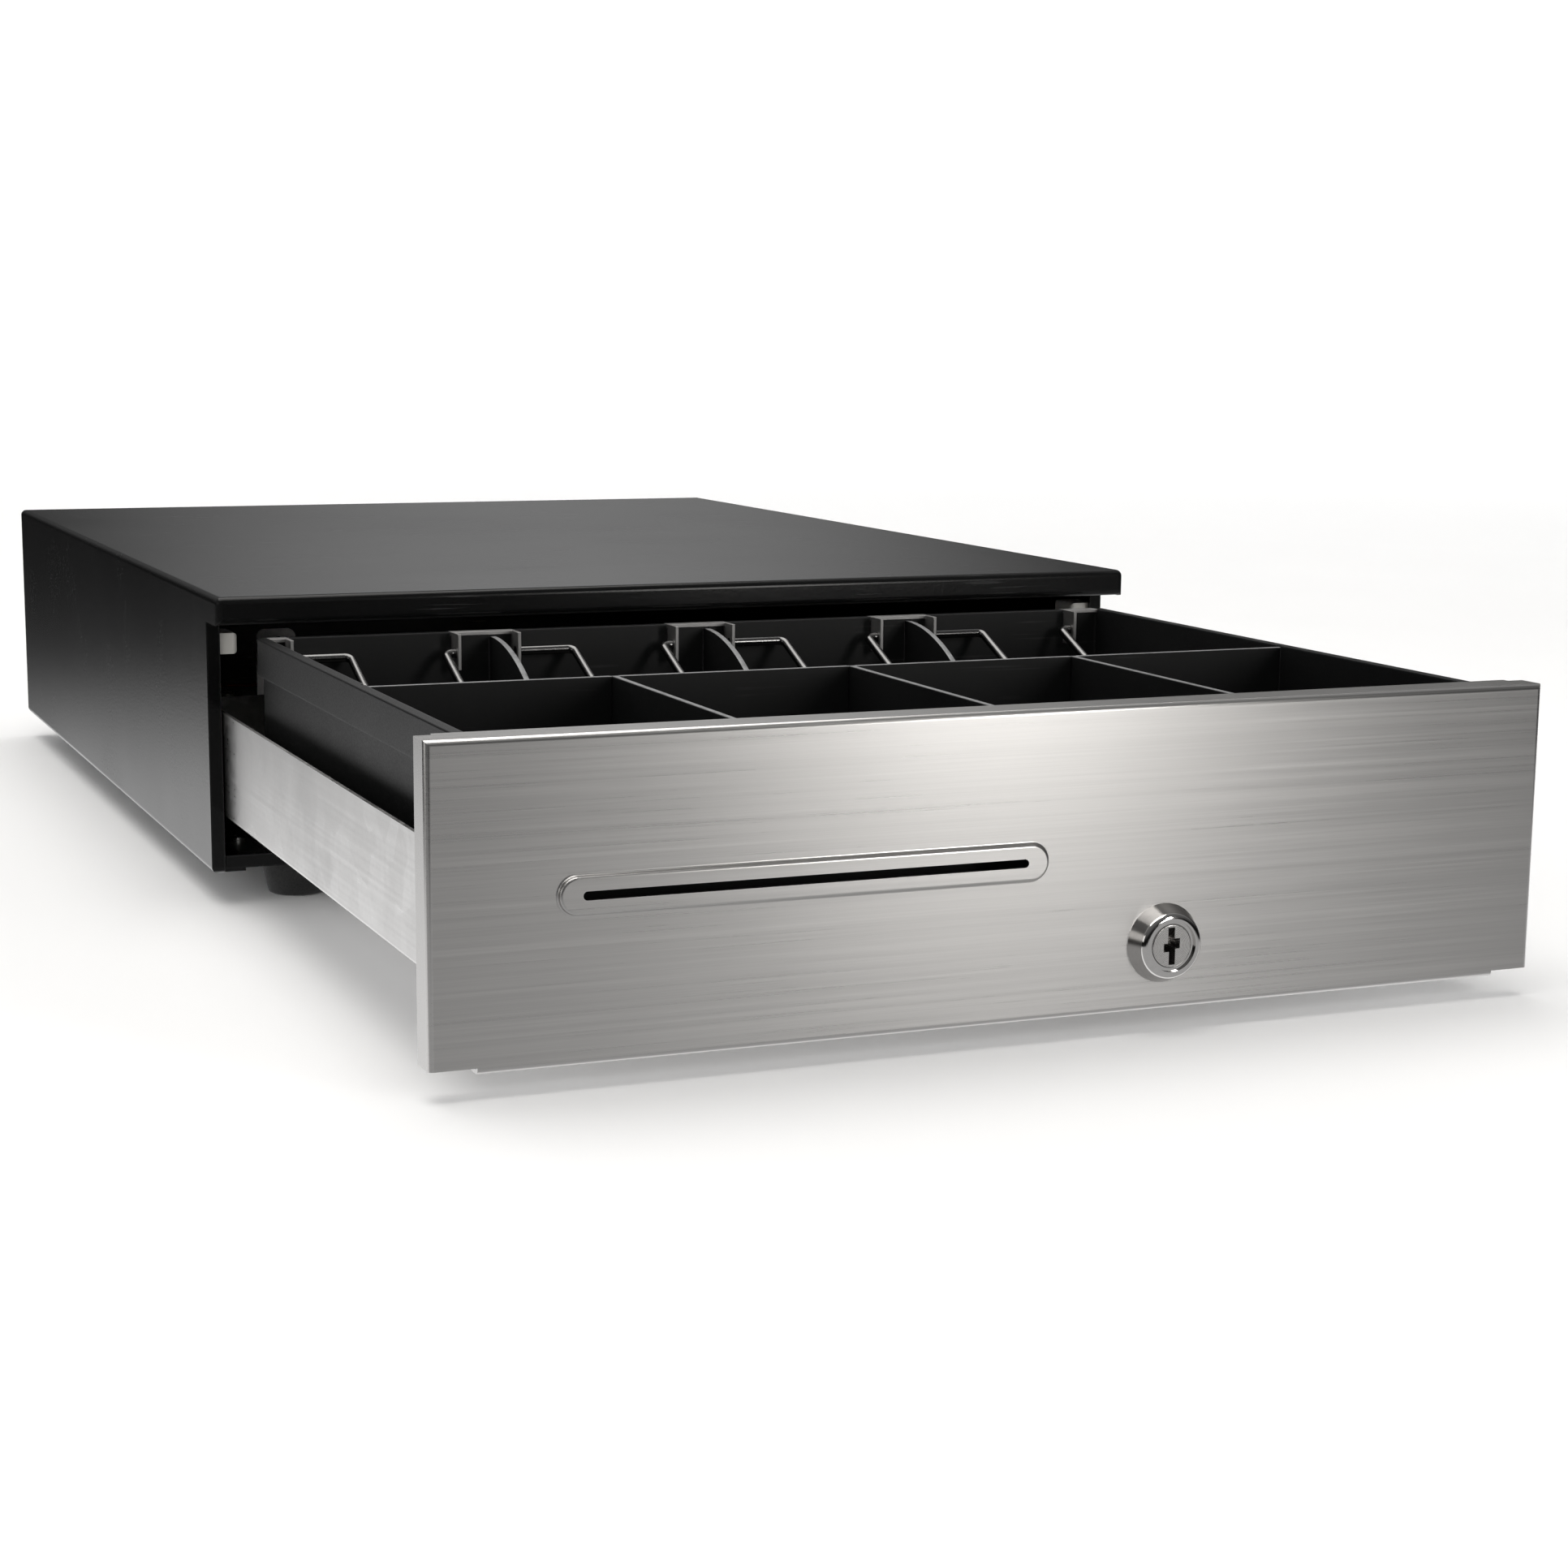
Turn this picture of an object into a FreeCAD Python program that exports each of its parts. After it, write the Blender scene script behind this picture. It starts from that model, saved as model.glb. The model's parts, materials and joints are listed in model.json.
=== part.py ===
import FreeCAD, Part
import math
import os

# Cash drawer: steel case, sliding drawer with a removable till, key lock and solenoid latch.
# Millimetres. +Z up, feet on Z = 0, X across, the drawer opens towards -Y.
# The rest state is the drawer fully open, its latch released, the hold-downs lying down.
# Until it is exported, each piece is placed with Y = 0 at the front edge of the case's side walls.

V = FreeCAD.Vector

# ---- overall sizes
case_width = 338.0
case_depth = 420.0            # front edge of the side walls to the rear face
case_height = 95.0            # without the feet
foot_height = 11.0
sheet = 1.2                   # all folded sheet steel
fold_inside = 1.1             # inner radius of the folds

# ---- case
lip_overhang = 17.0
lip_height = 9.5
front_flange = 4.6            # inward reach of the side walls' front edges
rear_flange = 12.0            # returns at the back and along the bottom
cover_play = 0.3              # base pan inside the cover
hem_height = 3.2              # turned-up front edge of the base pan
foot_top_radius = 13.0
foot_bottom_radius = 10.0
foot_inset_x = 33.0
foot_inset_y = 16.0
mount_spacing_x = 240.0
mount_spacing_y = 300.0
mount_hole_radius = 2.25

# ---- fasteners
screw_radius = 1.5
screw_clearance = 0.2
screw_head_radius = 2.8
screw_head_height = 1.8
screw_length = 5.0
stud_radius = 2.0
nut_flats = 7.0
nut_height = 3.0
rivet_radius = 1.6
rivet_head_radius = 3.0
rivet_head_height = 0.9

# ---- drawer
mechanism_room = 124.0        # behind the shut drawer, for the latch and the board
drawer_tail = 42.0            # length of drawer that stays inside the case when open
shut_gap = 1.3                # panel flange to the case's front edge when shut
slide_height = 16.4           # base pan to the drawer's underside
pan_side_height = 35.7
pan_play = 0.6                # drawer to the case's front flanges
panel_top_gap = 2.8           # under the lip
panel_drop = 4.1              # below the case
panel_return = 9.7            # side flanges
panel_top_return = 12.0
corner_notch_width = 13.0
corner_notch_height = 1.8

# ---- media slot and lock on the panel
slot_length = 128.0
slot_height = 2.4
slot_centre_x = -63.9
slot_centre_height = 40.8
emboss_length = 140.6
emboss_height = 10.2
emboss_rise = 1.6
lock_x = 43.8
lock_axis_height = 15.0
lock_body_radius = 8.4
lock_body_length = 24.0
lock_bezel_radius = 11.3
lock_bezel_height = 5.5
lock_plug_radius = 6.2
lock_flat = 7.4               # half width across the body's flats
keyway_width = 2.6
keyway_height = 10.6
cam_reach = 11.8
cam_width = 7.0
cam_thickness = 2.4
lock_nut_width = 22.0
lock_nut_height = 3.0
running = 0.06                # radial clearance of pins and plugs

# ---- till
till_side_gap = 5.6
till_front_gap = 10.6
till_lift_gap = 4.0           # rear rim to the lip, so that the till lifts out
till_over_lock = 0.6          # the till's underside above the lock
rib_setback = 24.0            # the ribs start behind the lock's cam
till_floor = 2.0
till_wall = 2.0
rim_band = 1.5                # how far the rim stands outside the wall
rim_band_height = 12.0
rim_below_panel = 0.9
note_length = 122.0           # the coins get the rest of the till's length
divider = 2.0
divider_below_rim = 0.6
groove_depth = 1.0
slot_play = 0.15
compartments = 4
bill_arc_radius = 72.5
bill_arc_height = 7.5         # centre of the arc above the case's underside
bill_low_height = 40.0
coin_scoop = 14.0

# ---- hold-downs
wire_radius = 1.5
pivot_bend = 2.4              # the wire beside the ears, on its centre line
loop_bend = 4.5               # the loop's front corners
arm_bend = 40.0               # the slow curves of the arms
arm_left = -11.5              # from the middle of the compartment
arm_right = 20.5
clip_left = -14.5             # from the divider
clip_right = 7.5
clip_sheet = 1.2
clip_ear_depth = 8.0
clip_ear_height = 12.0
pivot_in_front = 5.0          # of the till's rear wall
pivot_below_rim = 6.5
hold_down_reach = 80.0

# ---- ball slides
slide_inset = 22.0            # from the case's outer face
rail_height = 14.0
rail_width = 7.0
rail_sheet = 1.2
ball_radius = 1.8
ball_play = 0.2
ball_pitch = 12.0
balls_in_row = 5
cage_sheet = 0.6
cage_play = 0.7               # cage to the fixed rail's web
ball_grip = 0.08              # the cage snaps over the balls
rail_rear_gap = 20.0

# ---- latch, solenoid and switch
latch_sheet = 1.5
striker_width = 20.0
striker_reach = 14.0
striker_pin_radius = 2.0
striker_pin_out = 9.5
striker_low = 6.0             # bottom of the striker above the base pan
latch_throw = 15.0            # degrees between latched and released
lever_thickness = 3.0
lever_width = 8.0
lever_offset = 10.0           # the lever's pivot to the drawer's centre line
lever_reach = 29.0            # the pivot behind the striker pin
tail_reach = 24.0
pivot_radius = 3.0
coil_radius = 9.0
coil_length = 30.0
frame_sheet = 2.0
plunger_radius = 4.0
plunger_length = 36.0
spring_wire = 0.45
eject_wire = 0.7
eject_radius = 5.0
eject_x = -70.0
eject_axis_height = 36.0
eject_free = 78.0
switch_length = 20.0
switch_depth = 10.0
switch_thickness = 6.4

# ---- electronics
board_width = 52.0
board_depth = 40.0
board_thickness = 1.6
board_x = -105.0
standoff_height = 5.0
socket_width = 13.2
socket_height = 11.4
socket_depth = 16.0
port_width = 9.7
port_height = 6.8
port_depth = 12.0
lead_radius = 0.8

# ---- derived places
bend = sheet + fold_inside
half = case_width / 2
z_case = foot_height
z_floor = z_case + 2 * sheet
z_top = z_case + case_height
travel = case_depth - mechanism_room - drawer_tail
face_shut = -(panel_return + shut_gap)
face = face_shut - travel
pan_half = half - front_flange - pan_play
pan_front = face + sheet
pan_rear = drawer_tail
z_pan = z_floor + slide_height
z_panel_top = z_top - lip_height - panel_top_gap
z_panel_low = z_case - panel_drop
z_rim = z_panel_top - rim_below_panel
z_lock = z_case + lock_axis_height
z_till = z_lock + lock_body_radius + till_over_lock
z_till_floor = z_till + till_floor
till_half = pan_half - sheet - till_side_gap
till_inner = till_half - rim_band - till_wall
till_front = pan_front + sheet + till_front_gap
till_rear = -(lip_overhang + till_lift_gap)
till_front_inner = till_front + rim_band + till_wall
till_rear_inner = till_rear - rim_band - till_wall
cross_rear = till_rear_inner - note_length
cross_front = cross_rear - divider
pitch = (2 * till_inner + divider) / compartments
z_divider = z_rim - divider_below_rim
y_pivot = till_rear_inner - pivot_in_front
z_pivot = z_rim - pivot_below_rim
rear_face = case_depth
rear_wall = case_depth - 2 * sheet
bezel_front = face - lock_bezel_height
y_middle = (bezel_front + rear_face + screw_head_height) / 2

os.makedirs("parts", exist_ok=True)


# ---- shape helpers
def block(x0, x1, y0, y1, z0, z1):
    return Part.makeBox(x1 - x0, y1 - y0, z1 - z0, V(x0, y0, z0))


def rod_x(x0, x1, y, z, radius):
    return Part.makeCylinder(radius, x1 - x0, V(x0, y, z), V(1, 0, 0))


def rod_y(y0, y1, x, z, radius):
    return Part.makeCylinder(radius, y1 - y0, V(x, y0, z), V(0, 1, 0))


def rod_z(z0, z1, x, y, radius):
    return Part.makeCylinder(radius, z1 - z0, V(x, y, z0), V(0, 0, 1))


def joined(shapes):
    result = shapes[0].multiFuse(shapes[1:]) if len(shapes) > 1 else shapes[0]
    return result.removeSplitter()


def less(shape, cutters):
    return shape.cut(Part.makeCompound(cutters))


def prism(points, direction):
    """The closed polygon through the points, extruded by the direction."""
    face_shape = Part.Face(Part.makePolygon(points + [points[0]]))
    return face_shape.extrude(direction)


def edges_at(shape, chosen):
    """The edges whose two ends both satisfy the test."""
    picked = []
    for edge in shape.Edges:
        ends = [vertex.Point for vertex in edge.Vertexes]
        if len(ends) == 2 and all(chosen(p) for p in ends):
            picked.append(edge)
    return picked


def folds_y(shape, chosen):
    """The chosen edges that run along Y."""
    picked = edges_at(shape, chosen)
    return [e for e in picked if near(e.BoundBox.XLength, 0) and near(e.BoundBox.ZLength, 0)]


def near(a, b):
    return abs(a - b) < 1e-4


def mirrored(shape):
    return shape.mirror(V(0, 0, 0), V(1, 0, 0))


def turned(shape, centre, axis, degrees):
    copy = shape.copy()
    copy.rotate(centre, axis, degrees)
    return copy


def coil_y(y0, y1, x, z, radius, wire, turns):
    """A coil spring lying along Y, made of flat half turns that meet tangentially."""
    rise = (y1 - y0 - 2 * wire) / (2 * turns)
    halves = []
    for k in range(2 * turns):
        side = 1 if k % 2 == 0 else -1
        start = V(x + side * radius, y0 + wire + k * rise, z)
        middle = V(x, start.y + rise / 2, z)
        axis = start.sub(middle).cross(V(0, 0, side))
        section = Part.Face(Part.Wire(Part.makeCircle(wire, start, V(0, 0, 1))))
        halves.append(section.revolve(middle, axis, 180))
    return joined(halves)


def hexagon(flats):
    return [(flats / math.sqrt(3) * math.cos(math.radians(60 * k + 30)),
             flats / math.sqrt(3) * math.sin(math.radians(60 * k + 30))) for k in range(6)]


def nut_y(y0, x, z, flats, height, bore):
    """A hexagon nut on an axis along Y."""
    points = [V(x + u, y0, z + w) for u, w in hexagon(flats)]
    return prism(points, V(0, height, 0)).cut(rod_y(y0 - 1, y0 + height + 1, x, z, bore))


def pan_screw(origin, direction, length=screw_length):
    """A pan-head screw: the head's seat at the origin, the shank along the direction."""
    shank = Part.makeCylinder(screw_radius, length, origin, direction)
    back = V(direction).multiply(-1)
    head = Part.makeCylinder(screw_head_radius, screw_head_height, origin, back)
    rim = [e for e in head.Edges if near(e.CenterOfMass.sub(origin).Length, screw_head_height)]
    head = head.makeFillet(0.45 * screw_head_height, rim)
    top = origin.add(V(back).multiply(screw_head_height))
    socket = Part.makeCylinder(0.36 * screw_head_radius, 0.6 * screw_head_height, top, direction)
    return joined([shank, head]).cut(socket)


def rivet(origin, direction, length):
    """A round-head rivet: the head's seat at the origin, the shank along the direction."""
    shank = Part.makeCylinder(rivet_radius, length, origin, direction)
    back = V(direction).multiply(-1)
    head = Part.makeCylinder(rivet_head_radius, rivet_head_height, origin, back)
    rim = [e for e in head.Edges if near(e.CenterOfMass.sub(origin).Length, rivet_head_height)]
    return joined([shank, head.makeFillet(0.7 * rivet_head_height, rim)])


def keep(name, shapes):
    """Export one node, made of one solid or a group of separate solids."""
    group = shapes if isinstance(shapes, list) else [shapes]
    shape = group[0] if len(group) == 1 else Part.makeCompound(group)
    shape = shape.copy()
    shape.translate(V(0, -y_middle, 0))
    shape.exportStep("parts/" + name + ".step")


# ---- case
foot_places = [(sx * (half - foot_inset_x), y) for sx in (-1, 1)
               for y in (foot_inset_y, case_depth - foot_inset_y - foot_top_radius)]
mount_y = case_depth / 2
mount_places = [(sx * mount_spacing_x / 2, mount_y + sy * mount_spacing_y / 2)
                for sx in (-1, 1) for sy in (-1, 1)]
rear_screws = [(sx * (half - rear_flange / 2), z_case + share * case_height)
               for sx in (-1, 1) for share in (0.25, 0.75)]
bottom_screws = [(sx * (half - rear_flange / 2), share * case_depth)
                 for sx in (-1, 1) for share in (0.2, 0.5, 0.8)]
clear_radius = screw_radius + screw_clearance


def case_cover():
    body = block(-half, half, 0, case_depth, z_case, z_top)
    lip = block(-half, half, -lip_overhang, sheet, z_top - lip_height, z_top)
    outer = joined([body, lip])
    long_folds = edges_at(outer, lambda p: near(abs(p.x), half) and near(p.z, z_top))
    low_folds = edges_at(outer, lambda p: near(abs(p.x), half) and near(p.z, z_case))
    front_fold = edges_at(outer, lambda p: near(p.y, -lip_overhang) and near(p.z, z_top))
    corners = edges_at(outer, lambda p: near(abs(p.x), half) and near(p.y, -lip_overhang))
    outer = outer.makeFillet(bend, long_folds + low_folds + front_fold + corners)
    cavity = block(-half + sheet, half - sheet, sheet, case_depth - sheet, z_case + sheet, z_top - sheet)
    cavity = cavity.makeFillet(fold_inside, folds_y(cavity, lambda p: near(abs(p.x), half - sheet)))
    under_lip = block(-half + sheet, half - sheet, sheet - lip_overhang, 2 * sheet,
                      z_top - lip_height - 1, z_top - sheet)
    mouth = block(-half + front_flange, half - front_flange, -1, 2 * sheet, z_case - 1, z_top - 2 * sheet)
    back = block(-half + rear_flange, half - rear_flange, case_depth - 2 * sheet, case_depth + 1,
                 z_case - 1, z_top - rear_flange)
    bottom = block(-half + rear_flange, half - rear_flange, -1, case_depth + 1, z_case - 1,
                   z_case + 2 * sheet)
    holes = [rod_y(case_depth - 2 * sheet, case_depth + 1, x, z, clear_radius) for x, z in rear_screws]
    holes += [rod_z(z_case - 1, z_case + 2 * sheet, x, y, clear_radius) for x, y in bottom_screws]
    return less(outer, [cavity, under_lip, mouth, back, bottom] + holes)


socket_x = board_x
z_board = z_floor + standoff_height
z_socket = z_board + board_thickness


def floor_screws():
    """Threaded holes for the slides, the latch plate and the brackets."""
    rails = [(side * rail_screw_x, y) for side in (-1, 1) for y in rail_screws_y]
    return rails + latch_screws + eject_screws + keeper_screws


def base_pan():
    reach = half - sheet - cover_play
    front = sheet + cover_play
    z_under = z_case + sheet
    inner_bend = fold_inside - cover_play
    floor = block(-reach, reach, front, case_depth - sheet, z_under, z_floor)
    wall = block(-reach, reach, rear_wall, case_depth - sheet, z_under, z_top - sheet - cover_play)
    hem = block(-pan_half, pan_half, front, front + sheet, z_under, z_floor + hem_height)
    # the cover's folds are rounded inside, so the pan's long edges are too
    floor = floor.makeFillet(inner_bend, folds_y(floor, lambda p: near(p.z, z_under)))
    wall = wall.makeFillet(inner_bend, folds_y(wall, lambda p: near(abs(p.x), reach)))
    pan = joined([floor, wall, hem])
    holes = [rod_y(rear_wall - 1, case_depth, x, z, screw_radius) for x, z in rear_screws]
    holes += [rod_z(z_case, z_floor + 1, x, y, screw_radius) for x, y in bottom_screws]
    holes += [rod_z(z_case, z_floor + 1, x, y, screw_radius) for x, y in foot_places]
    holes += [rod_z(z_case, z_floor + 1, x, y, mount_hole_radius) for x, y in mount_places]
    holes += [rod_z(z_case, z_floor + 1, x, y, screw_radius) for x, y in floor_screws()]
    play = cover_play
    holes.append(block(socket_x - socket_width / 2 - play, socket_x + socket_width / 2 + play,
                       rear_wall - 1, case_depth, z_socket - play, z_socket + socket_height + play))
    return less(pan, holes)


def foot(x, y):
    body = Part.makeCone(foot_bottom_radius, foot_top_radius, foot_height + sheet, V(x, y, 0))
    rim = [e for e in body.Edges if e.Closed and near(e.CenterOfMass.z, 0)]
    body = body.makeFillet(1.2, rim)
    well = rod_z(-1, 0.45 * foot_height, x, y, screw_head_radius + 1.0)
    bore = rod_z(0, foot_height + 2 * sheet, x, y, screw_radius)
    return less(body, [well, bore])


def case_guide():
    """A nylon block on the side wall that steers the till's flank."""
    z_mid = z_rim - 0.35 * rim_band_height
    inner = till_half + 1.0
    body = block(inner, half - sheet, 2 * sheet, 2 * sheet + 14.0, z_mid - 3.5, z_mid + 3.5)
    return body.makeFillet(1.5, edges_at(body, lambda p: near(p.x, inner)))


def make_case():
    keep("case_cover", case_cover())
    keep("base_pan", base_pan())
    keep("rubber_feet", [foot(x, y) for x, y in foot_places])
    head_seat = 0.45 * foot_height
    shank = z_floor + 1.5 - head_seat
    keep("foot_screws", [pan_screw(V(x, y, head_seat), V(0, 0, 1), shank) for x, y in foot_places])
    screws = [pan_screw(V(x, rear_face, z), V(0, -1, 0)) for x, z in rear_screws]
    screws += [pan_screw(V(x, y, z_case), V(0, 0, 1)) for x, y in bottom_screws]
    keep("cover_screws", screws)
    guide = case_guide()
    keep("side_guide_right", guide)
    keep("side_guide_left", mirrored(guide))


# ---- drawer slides, drawn on the right-hand side and mirrored
rail_out = half - slide_inset                    # outer face of the fixed rail's web
ball_x = rail_out - rail_sheet - cage_play - cage_sheet - 0.3 - ball_radius
z_rail = z_floor
z_ball_low = z_rail + rail_sheet + ball_play + ball_radius
z_ball_high = z_rail + rail_height - rail_sheet - ball_play - ball_radius
z_inner_low = z_ball_low + ball_radius + ball_play
z_inner_high = z_ball_high - ball_radius - ball_play
rail_front = 8.0
rail_rear = case_depth - rail_rear_gap
inner_front = pan_front + 14.0
cage_length = (balls_in_row - 1) * ball_pitch + 10.0
cage_front = rail_front + 2.0
rail_screws_y = [rail_front + share * (rail_rear - rail_front) for share in (0.08, 0.5, 0.92)]
inner_rivets_y = [inner_front + share * (pan_rear - inner_front) for share in (0.12, 0.5, 0.9)]
rail_foot = 9.0
rail_screw_x = rail_out + 0.55 * rail_foot
rivet_x = ball_x - 0.75 * rail_width - 0.55 * rail_foot


def channel_y(points, y0, y1):
    return prism([V(x, y0, z) for x, z in points], V(0, y1 - y0, 0))


def slide_outer():
    """C-shaped rail open towards the middle, with a foot that is screwed to the base pan."""
    x, s, w = rail_out, rail_sheet, rail_width
    z0, z1 = z_rail, z_rail + rail_height
    points = [(x + rail_foot, z0), (x + rail_foot, z0 + s), (x, z0 + s), (x, z1), (x - w, z1),
              (x - w, z1 - s), (x - s, z1 - s), (x - s, z0 + s), (x - w, z0 + s), (x - w, z0)]
    rail = channel_y(points, rail_front, rail_rear)
    return less(rail, [rod_z(z0 - 1, z0 + s + 1, rail_screw_x, y, clear_radius) for y in rail_screws_y])


def slide_inner():
    """Rail between the balls, with an angle up to the drawer's underside."""
    s = rail_sheet
    x_tip = ball_x + 0.45 * ball_radius
    x_web = ball_x - 0.75 * rail_width
    z0, z1 = z_inner_low, z_inner_high
    points = [(x_web, z0), (x_tip, z0), (x_tip, z1), (x_web + s, z1), (x_web + s, z_pan),
              (x_web - rail_foot, z_pan), (x_web - rail_foot, z_pan - s), (x_web, z_pan - s)]
    rail = channel_y(points, inner_front, pan_rear)
    return less(rail, [rod_z(z_pan - s - 1, z_pan + 1, rivet_x, y, rivet_radius) for y in inner_rivets_y])


def ball_cage():
    """Strip bent round the inner rail's tip, with a row of holes above and below."""
    c = cage_sheet
    x_out = ball_x + ball_radius + 0.3
    x_in = ball_x - 0.55 * ball_radius
    z_low, z_high = z_ball_low - 1.2 * c, z_ball_high + 0.2 * c
    points = [(x_in, z_low), (x_out + c, z_low), (x_out + c, z_high + c), (x_in, z_high + c),
              (x_in, z_high), (x_out, z_high), (x_out, z_low + c), (x_in, z_low + c)]
    return channel_y(points, cage_front, cage_front + cage_length)


def ball_places():
    first = cage_front + 5.0
    return [V(ball_x, first + k * ball_pitch, z)
            for k in range(balls_in_row) for z in (z_ball_low, z_ball_high)]


def make_slides():
    outer = slide_outer()
    inner = slide_inner()
    balls = [Part.makeSphere(ball_radius, place) for place in ball_places()]
    grip = [Part.makeSphere(ball_radius - ball_grip, place) for place in ball_places()]
    cage = less(ball_cage(), grip)
    keep("slide_outer_right", outer)
    keep("slide_outer_left", mirrored(outer))
    keep("slide_inner_right", inner)
    keep("slide_inner_left", mirrored(inner))
    keep("ball_cage_right", cage)
    keep("ball_cage_left", mirrored(cage))
    keep("slide_balls_right", balls)
    keep("slide_balls_left", [mirrored(ball) for ball in balls])


# ---- drawer shell and front panel
stud_places = [(sx * (pan_half - 14.0), z_pan + dz) for sx in (-1, 1) for dz in (12.0, 44.0)]
stud_length = sheet + nut_height + 1.5
z_slot = z_case + slot_centre_height


def lock_notch(y0, y1, play):
    reach = lock_body_radius + play
    return block(lock_x - reach, lock_x + reach, y0, y1, z_pan - 1, z_lock + reach)


def drawer_pan():
    z_side = z_pan + pan_side_height
    z_front = z_panel_top - 2 * sheet
    outer = block(-pan_half, pan_half, pan_front, pan_rear, z_pan, z_side)
    low = edges_at(outer, lambda p: near(abs(p.x), pan_half) and near(p.z, z_pan))
    outer = outer.makeFillet(bend - 1.0, low)
    inner = block(-pan_half + sheet, pan_half - sheet, pan_front + sheet, pan_rear - sheet,
                  z_pan + sheet, z_side + 1)
    front = block(-pan_half + 4.0, pan_half - 4.0, pan_front, pan_front + sheet, z_side - 1, z_front)
    shell = joined([outer.cut(inner), front])
    nut_room = lock_nut_width / 2 + 2.0
    cuts = [block(lock_x - nut_room, lock_x + nut_room, pan_front - 1, pan_front + lock_body_length + 6.0,
                  z_pan - 1, z_lock + nut_room)]
    cuts += [rod_y(pan_front - 1, pan_front + sheet + 1, x, z, stud_radius + screw_clearance)
             for x, z in stud_places]
    cuts += [rod_z(z_pan - 1, z_pan + sheet + 1, side * rivet_x, y, rivet_radius)
             for side in (-1, 1) for y in inner_rivets_y]
    cuts += [rod_y(pan_rear - sheet - 1, pan_rear + 1, 0, z, rivet_radius) for z in striker_rivets]
    cuts.append(block(slot_centre_x - slot_length / 2 - 4, slot_centre_x + slot_length / 2 + 4,
                      pan_front - 1, pan_front + sheet + 1,
                      z_slot - 3 * slot_height, z_slot + 3 * slot_height))
    return less(shell, cuts)


def pill(length, height, y0, y1, x, z):
    """A bar with rounded ends, its length along X."""
    radius = height / 2
    reach = length / 2 - radius
    middle = block(x - reach, x + reach, y0, y1, z - radius, z + radius)
    ends = [rod_y(y0, y1, x + side * reach, z, radius) for side in (-1, 1)]
    return joined([middle] + ends)


def front_panel():
    outer = block(-half, half, face, face + panel_return, z_panel_low, z_panel_top)
    top = block(-pan_half, pan_half, face + sheet, face + panel_top_return, z_panel_top - sheet,
                z_panel_top)
    folds = edges_at(outer, lambda p: near(p.y, face))
    outer = outer.makeFillet(bend - 0.7, folds)
    inner = block(-half + sheet, half - sheet, face + sheet, face + panel_return + 1,
                  z_panel_low + sheet, z_panel_top - sheet)
    shell = joined([outer.cut(inner), top])
    notches = [block(side * half - corner_notch_width, side * half + corner_notch_width, face - 1,
                     face + panel_return + 1, z_panel_low - 1, z_panel_low + corner_notch_height)
               for side in (-1, 1)]
    shell = less(shell, notches)
    closing = [block(min(side * half, side * (half - corner_notch_width)),
                     max(side * half, side * (half - corner_notch_width)), face + bend, face + panel_return,
                     z_panel_low + corner_notch_height, z_panel_low + corner_notch_height + sheet)
               for side in (-1, 1)]
    studs = [rod_y(face + sheet / 2, pan_front + stud_length, x, z, stud_radius) for x, z in stud_places]
    raised = pill(emboss_length, emboss_height, face - emboss_rise, face + sheet / 2, slot_centre_x,
                  z_slot)
    crown = [e for e in raised.Edges if all(near(v.Point.y, face - emboss_rise) for v in e.Vertexes)]
    raised = raised.makeFillet(0.5 * emboss_rise, crown)
    shell = joined([shell] + closing + studs + [raised])
    root = [e for e in shell.Edges if all(near(v.Point.y, face) for v in e.Vertexes)
            and abs(e.CenterOfMass.z - z_slot) < emboss_height
            and abs(e.CenterOfMass.x - slot_centre_x) < emboss_length / 2 + 1]
    shell = shell.makeFillet(0.4 * emboss_rise, root)
    slot = pill(slot_length, slot_height, face - emboss_rise - 1, face + sheet + 1, slot_centre_x, z_slot)
    hollow = pill(emboss_length - 2 * sheet, emboss_height - 2 * sheet, face - emboss_rise + sheet,
                  pan_front + 1, slot_centre_x, z_slot)
    bore = rod_y(face - 1, face + sheet + 1, lock_x, z_lock, lock_body_radius + screw_clearance)
    flats = lock_flat + screw_clearance
    bore = bore.common(block(lock_x - flats, lock_x + flats, face - 1, face + sheet + 1,
                             z_lock - half, z_lock + half))
    return less(shell, [slot, hollow, bore])


# ---- striker on the drawer's back
z_striker = z_floor + striker_low
z_lever = z_floor + latch_sheet + frame_sheet + 0.3 + coil_radius
z_striker_tab = z_lever + 0.5 * lever_thickness + 5.0
striker_rivets = [z_pan + 14.0, z_pan + 28.0]
striker_back = pan_rear + latch_sheet


def striker():
    w = striker_width / 2
    top = striker_rivets[-1] + 6.0
    plate = block(-w, w, pan_rear, striker_back, z_striker, top)
    tabs = [block(-w, w, pan_rear, striker_back + striker_reach, z, z + latch_sheet)
            for z in (z_striker, z_striker_tab)]
    bracket = joined([plate] + tabs)
    ends = [e for e in bracket.Edges if near(e.Length, latch_sheet)
            and all(near(v.Point.y, striker_back + striker_reach) for v in e.Vertexes)]
    bracket = bracket.makeFillet(4.0, ends)
    pin_y = striker_back + striker_pin_out
    cuts = [rod_z(z_striker - 1, z_striker_tab + 3, 0, pin_y, striker_pin_radius)]
    cuts += [rod_y(pan_rear - 1, striker_back + 1, 0, z, rivet_radius) for z in striker_rivets]
    pin = rod_z(z_striker, z_striker_tab + latch_sheet, 0, pin_y, striker_pin_radius)
    return less(bracket, cuts), pin


def make_drawer():
    keep("drawer_pan", drawer_pan())
    keep("front_panel", front_panel())
    keep("panel_nuts", [nut_y(pan_front + sheet, x, z, nut_flats, nut_height, stud_radius)
                        for x, z in stud_places])
    bracket, pin = striker()
    keep("latch_striker", bracket)
    keep("striker_pin", pin)
    rivets = [rivet(V(0, striker_back, z), V(0, -1, 0), latch_sheet + sheet) for z in striker_rivets]
    rivets += [rivet(V(side * rivet_x, y, z_pan + sheet), V(0, 0, -1), rail_sheet + sheet)
               for side in (-1, 1) for y in inner_rivets_y]
    keep("drawer_rivets", rivets)


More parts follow.
